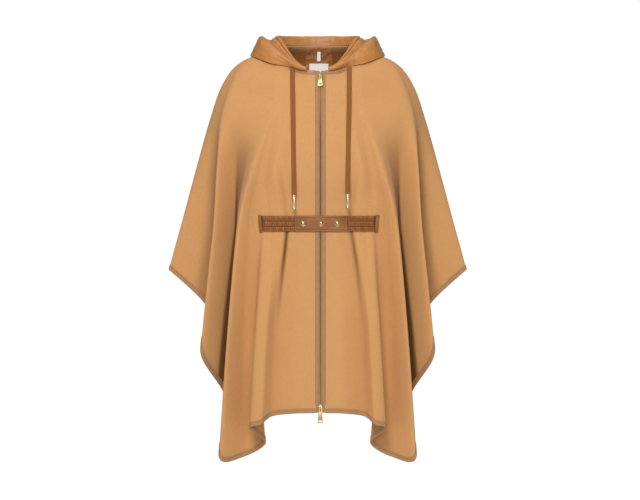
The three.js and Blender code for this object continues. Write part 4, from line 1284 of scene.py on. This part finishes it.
slider = {"width": 11 * mm, "nose": 7 * mm, "length": 16 * mm, "thick": 3.6 * mm, "reach": 8 * mm,
          "archZ": 6 * mm, "archY": 5 * mm, "pinY": 2.5 * mm, "bar": 1.5 * mm}
pulls = {
    "top": {"top": 9 * mm, "bottom": 13 * mm, "length": 28 * mm, "slot": (6 * mm, 3 * mm), "slotEnd": 4 * mm},
    "bottom": {"top": 9 * mm, "bottom": 12.5 * mm, "length": 35 * mm, "slot": (7 * mm, 4 * mm),
               "slotEnd": 2.5 * mm},
}
pull = {"thick": 1.6 * mm, "bar": 2 * mm, "window": (4.2 * mm, 7.2 * mm)}


def blockPiece(size, centre):
    bpy.ops.object.select_all(action="DESELECT")
    bpy.ops.mesh.primitive_cube_add(size=1, location=centre)
    piece = bpy.context.active_object
    piece.scale = size
    bpy.ops.object.transform_apply(location=True, rotation=True, scale=True)
    return piece


def cutBy(piece, cutter):
    modifier = piece.modifiers.new("cut", "BOOLEAN")
    modifier.operation = "DIFFERENCE"
    modifier.solver = "EXACT"
    modifier.object = cutter
    applyModifiers(piece)
    bpy.data.objects.remove(cutter)


# Narrows or widens what lies on one side of a height, as scaling the selected points would
def taperEnd(piece, below, factor):
    selectOnly(piece)
    bpy.ops.object.mode_set(mode="EDIT")
    bpy.ops.mesh.select_all(action="DESELECT")
    bpy.ops.object.mode_set(mode="OBJECT")
    for vertex in piece.data.vertices:
        vertex.select = vertex.co.z < below
    bpy.ops.object.mode_set(mode="EDIT")
    bpy.ops.transform.resize(value=(factor, 1, 1), center_override=(0, 0, below))
    bpy.ops.object.mode_set(mode="OBJECT")


def sliderTilt(anchor):
    z = anchor[2]
    v = np.linspace(0, hem, 2000)
    line = closingPoint(v)
    order = np.argsort(line[:, 2])
    reach = slider["reach"]
    high, low = (np.interp(z + d, line[order, 2], line[order, 1]) for d in (reach, -reach))
    return -math.atan((high - low) / (2 * reach))


def sliderPiece(name, place):
    body = blockPiece((slider["width"], slider["thick"] * 0.42, slider["length"]),
                      (0, -slider["thick"] * 0.79, 0))
    taperEnd(body, 0, slider["nose"] / slider["width"])
    plate = blockPiece((slider["width"] * 0.5, slider["thick"] * 0.6, slider["length"] * 0.8),
                       (0, -slider["thick"] * 0.3, 0))
    bevelled(body, 0.7 * mm, 3)
    bevelled(plate, 0.4 * mm)
    bpy.ops.object.select_all(action="DESELECT")
    bpy.ops.mesh.primitive_torus_add(major_radius=1, minor_radius=0.28, major_segments=28, minor_segments=10,
                                     location=(0, 0, 0), rotation=(0, math.pi / 2, 0))
    arch = bpy.context.active_object
    bpy.ops.object.transform_apply(location=True, rotation=True, scale=True)
    arch.scale = (slider["bar"] / 0.28, slider["archY"] * 0.78, slider["archZ"] * 0.78)
    arch.location = (0, -slider["thick"], 0)
    bpy.ops.object.transform_apply(location=True, rotation=True, scale=True)
    bpy.ops.object.select_all(action="DESELECT")
    for item in (plate, arch, body):
        item.select_set(True)
    bpy.context.view_layer.objects.active = body
    bpy.ops.object.join()
    setDown(body, place)
    return finished(body, f"{name}Slider", "gold", [f"{name}_slider"], "cape")


def pullPiece(name, place):
    size = pulls[name]
    length = size["length"]
    tab = blockPiece((size["top"], pull["thick"], length + pull["bar"] / 2),
                     (0, 0, pull["bar"] / 4 - length / 2))
    taperEnd(tab, -length / 2, size["bottom"] / size["top"])
    window = pull["window"]
    cutBy(tab, blockPiece((window[0], 1, window[1] - pull["bar"] / 2),
                          (0, 0, -pull["bar"] / 2 - (window[1] - pull["bar"] / 2) / 2)))
    slot = size["slot"]
    cutBy(tab, blockPiece((slot[0], 1, slot[1]), (0, 0, size["slotEnd"] + slot[1] / 2 - length)))
    bevelled(tab, 0.35 * mm, 3)
    setDown(tab, place)
    return finished(tab, f"{name}Pull", "gold", [f"{name}_pull"], f"{name}_tab")


for name in ("top", "bottom"):
    joint = next(j for j in frame["joints"] if j["name"] == f"{name}_pull_hinge")
    anchor = Vector(joint["pos_m"])
    turn = Matrix.Rotation(sliderTilt(anchor), 4, "X")
    pullPiece(name, Matrix.Translation(anchor) @ turn)
    seat = anchor + turn @ Vector((0, slider["thick"] + slider["pinY"], 0))
    sliderPiece(name, Matrix.Translation(seat) @ turn)
print("zip pulls made")


# Bodies, slots and what each sheet is cut from

seamStitches = stitchPiece("seamStitches", seams)
onCape = list(sheets.values()) + list(bindings.values()) + bands + [chain, beltTab, seamStitches] + beltPieces
for piece in onCape + hoods + insidePieces:
    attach(piece, "cape")
slots = {"wool": list(sheets.values()), "tape": list(bindings.values()) + bands, "chain": [chain],
         "leather": [beltTab] + beltPieces[2:6], "ruched": beltPieces[:2] + insidePieces[:1],
         "nylon": hoods, "lining": insidePieces[1:3], "white": insidePieces[3:]}


# Studio: a pale floor, a white surround and soft lights

studio = {"floorZ": -1.42, "floorSize": 90.0, "surround": 0.09, "glow": 0.96, "bounce": 0.15}
lights = {
    "key": {"place": (-0.7, -4.7, 3.0), "aim": (0, 0, -0.3), "size": 1.4, "power": 190.0},
    "fill": {"place": (0.8, -5.2, 0.9), "aim": (0, 0, -0.3), "size": 1.8, "power": 54.0},
    "top": {"place": (0.0, 0.0, 2.8), "aim": (0, 0, -0.3), "size": 2.0, "power": 26.0},
    "rear": {"place": (0.6, 4.2, 0.9), "aim": (0, 0, -0.6), "size": 2.4, "power": 26.0},
}


# One strength for light that falls on the cape, another for what the camera sees
def lightSplit(tree, socket, falling, seen):
    path = tree.nodes.new("ShaderNodeLightPath")
    strength = tree.nodes.new("ShaderNodeMix")
    strength.inputs[2].default_value = falling
    strength.inputs[3].default_value = seen
    tree.links.new(path.outputs["Is Camera Ray"], strength.inputs[0])
    tree.links.new(strength.outputs[0], socket)


def makeStudio():
    world = bpy.data.worlds.new("studio")
    bpy.context.scene.world = world
    world.use_nodes = True
    tree = world.node_tree
    back = tree.nodes["Background"]
    back.inputs["Color"].default_value = (1, 1, 1, 1)
    lightSplit(tree, back.inputs["Strength"], studio["surround"], 1.05)
    bpy.ops.object.select_all(action="DESELECT")
    bpy.ops.mesh.primitive_plane_add(size=studio["floorSize"], location=(0, 0, studio["floorZ"]))
    floor = bpy.context.active_object
    floor.name = "floor"
    paint = bpy.data.materials.new("pale floor")
    paint.use_nodes = True
    shader = paint.node_tree.nodes["Principled BSDF"]
    shader.inputs["Base Color"].default_value = (0.9, 0.9, 0.9, 1)
    shader.inputs["Roughness"].default_value = 0.9
    shader.inputs["Emission Color"].default_value = (1, 1, 1, 1)
    lightSplit(paint.node_tree, shader.inputs["Emission Strength"], studio["bounce"], studio["glow"])
    floor.data.materials.append(paint)
    for name, light in lights.items():
        data = bpy.data.lights.new(name, "AREA")
        data.size = light["size"]
        data.energy = light["power"]
        lamp = bpy.data.objects.new(name, data)
        lamp.location = light["place"]
        aim = Vector(light["aim"]) - Vector(light["place"])
        lamp.rotation_euler = aim.to_track_quat("-Z", "Y").to_euler()
        bpy.context.collection.objects.link(lamp)
    bpy.context.scene.view_settings.view_transform = "Standard"


makeStudio()
print("studio made")
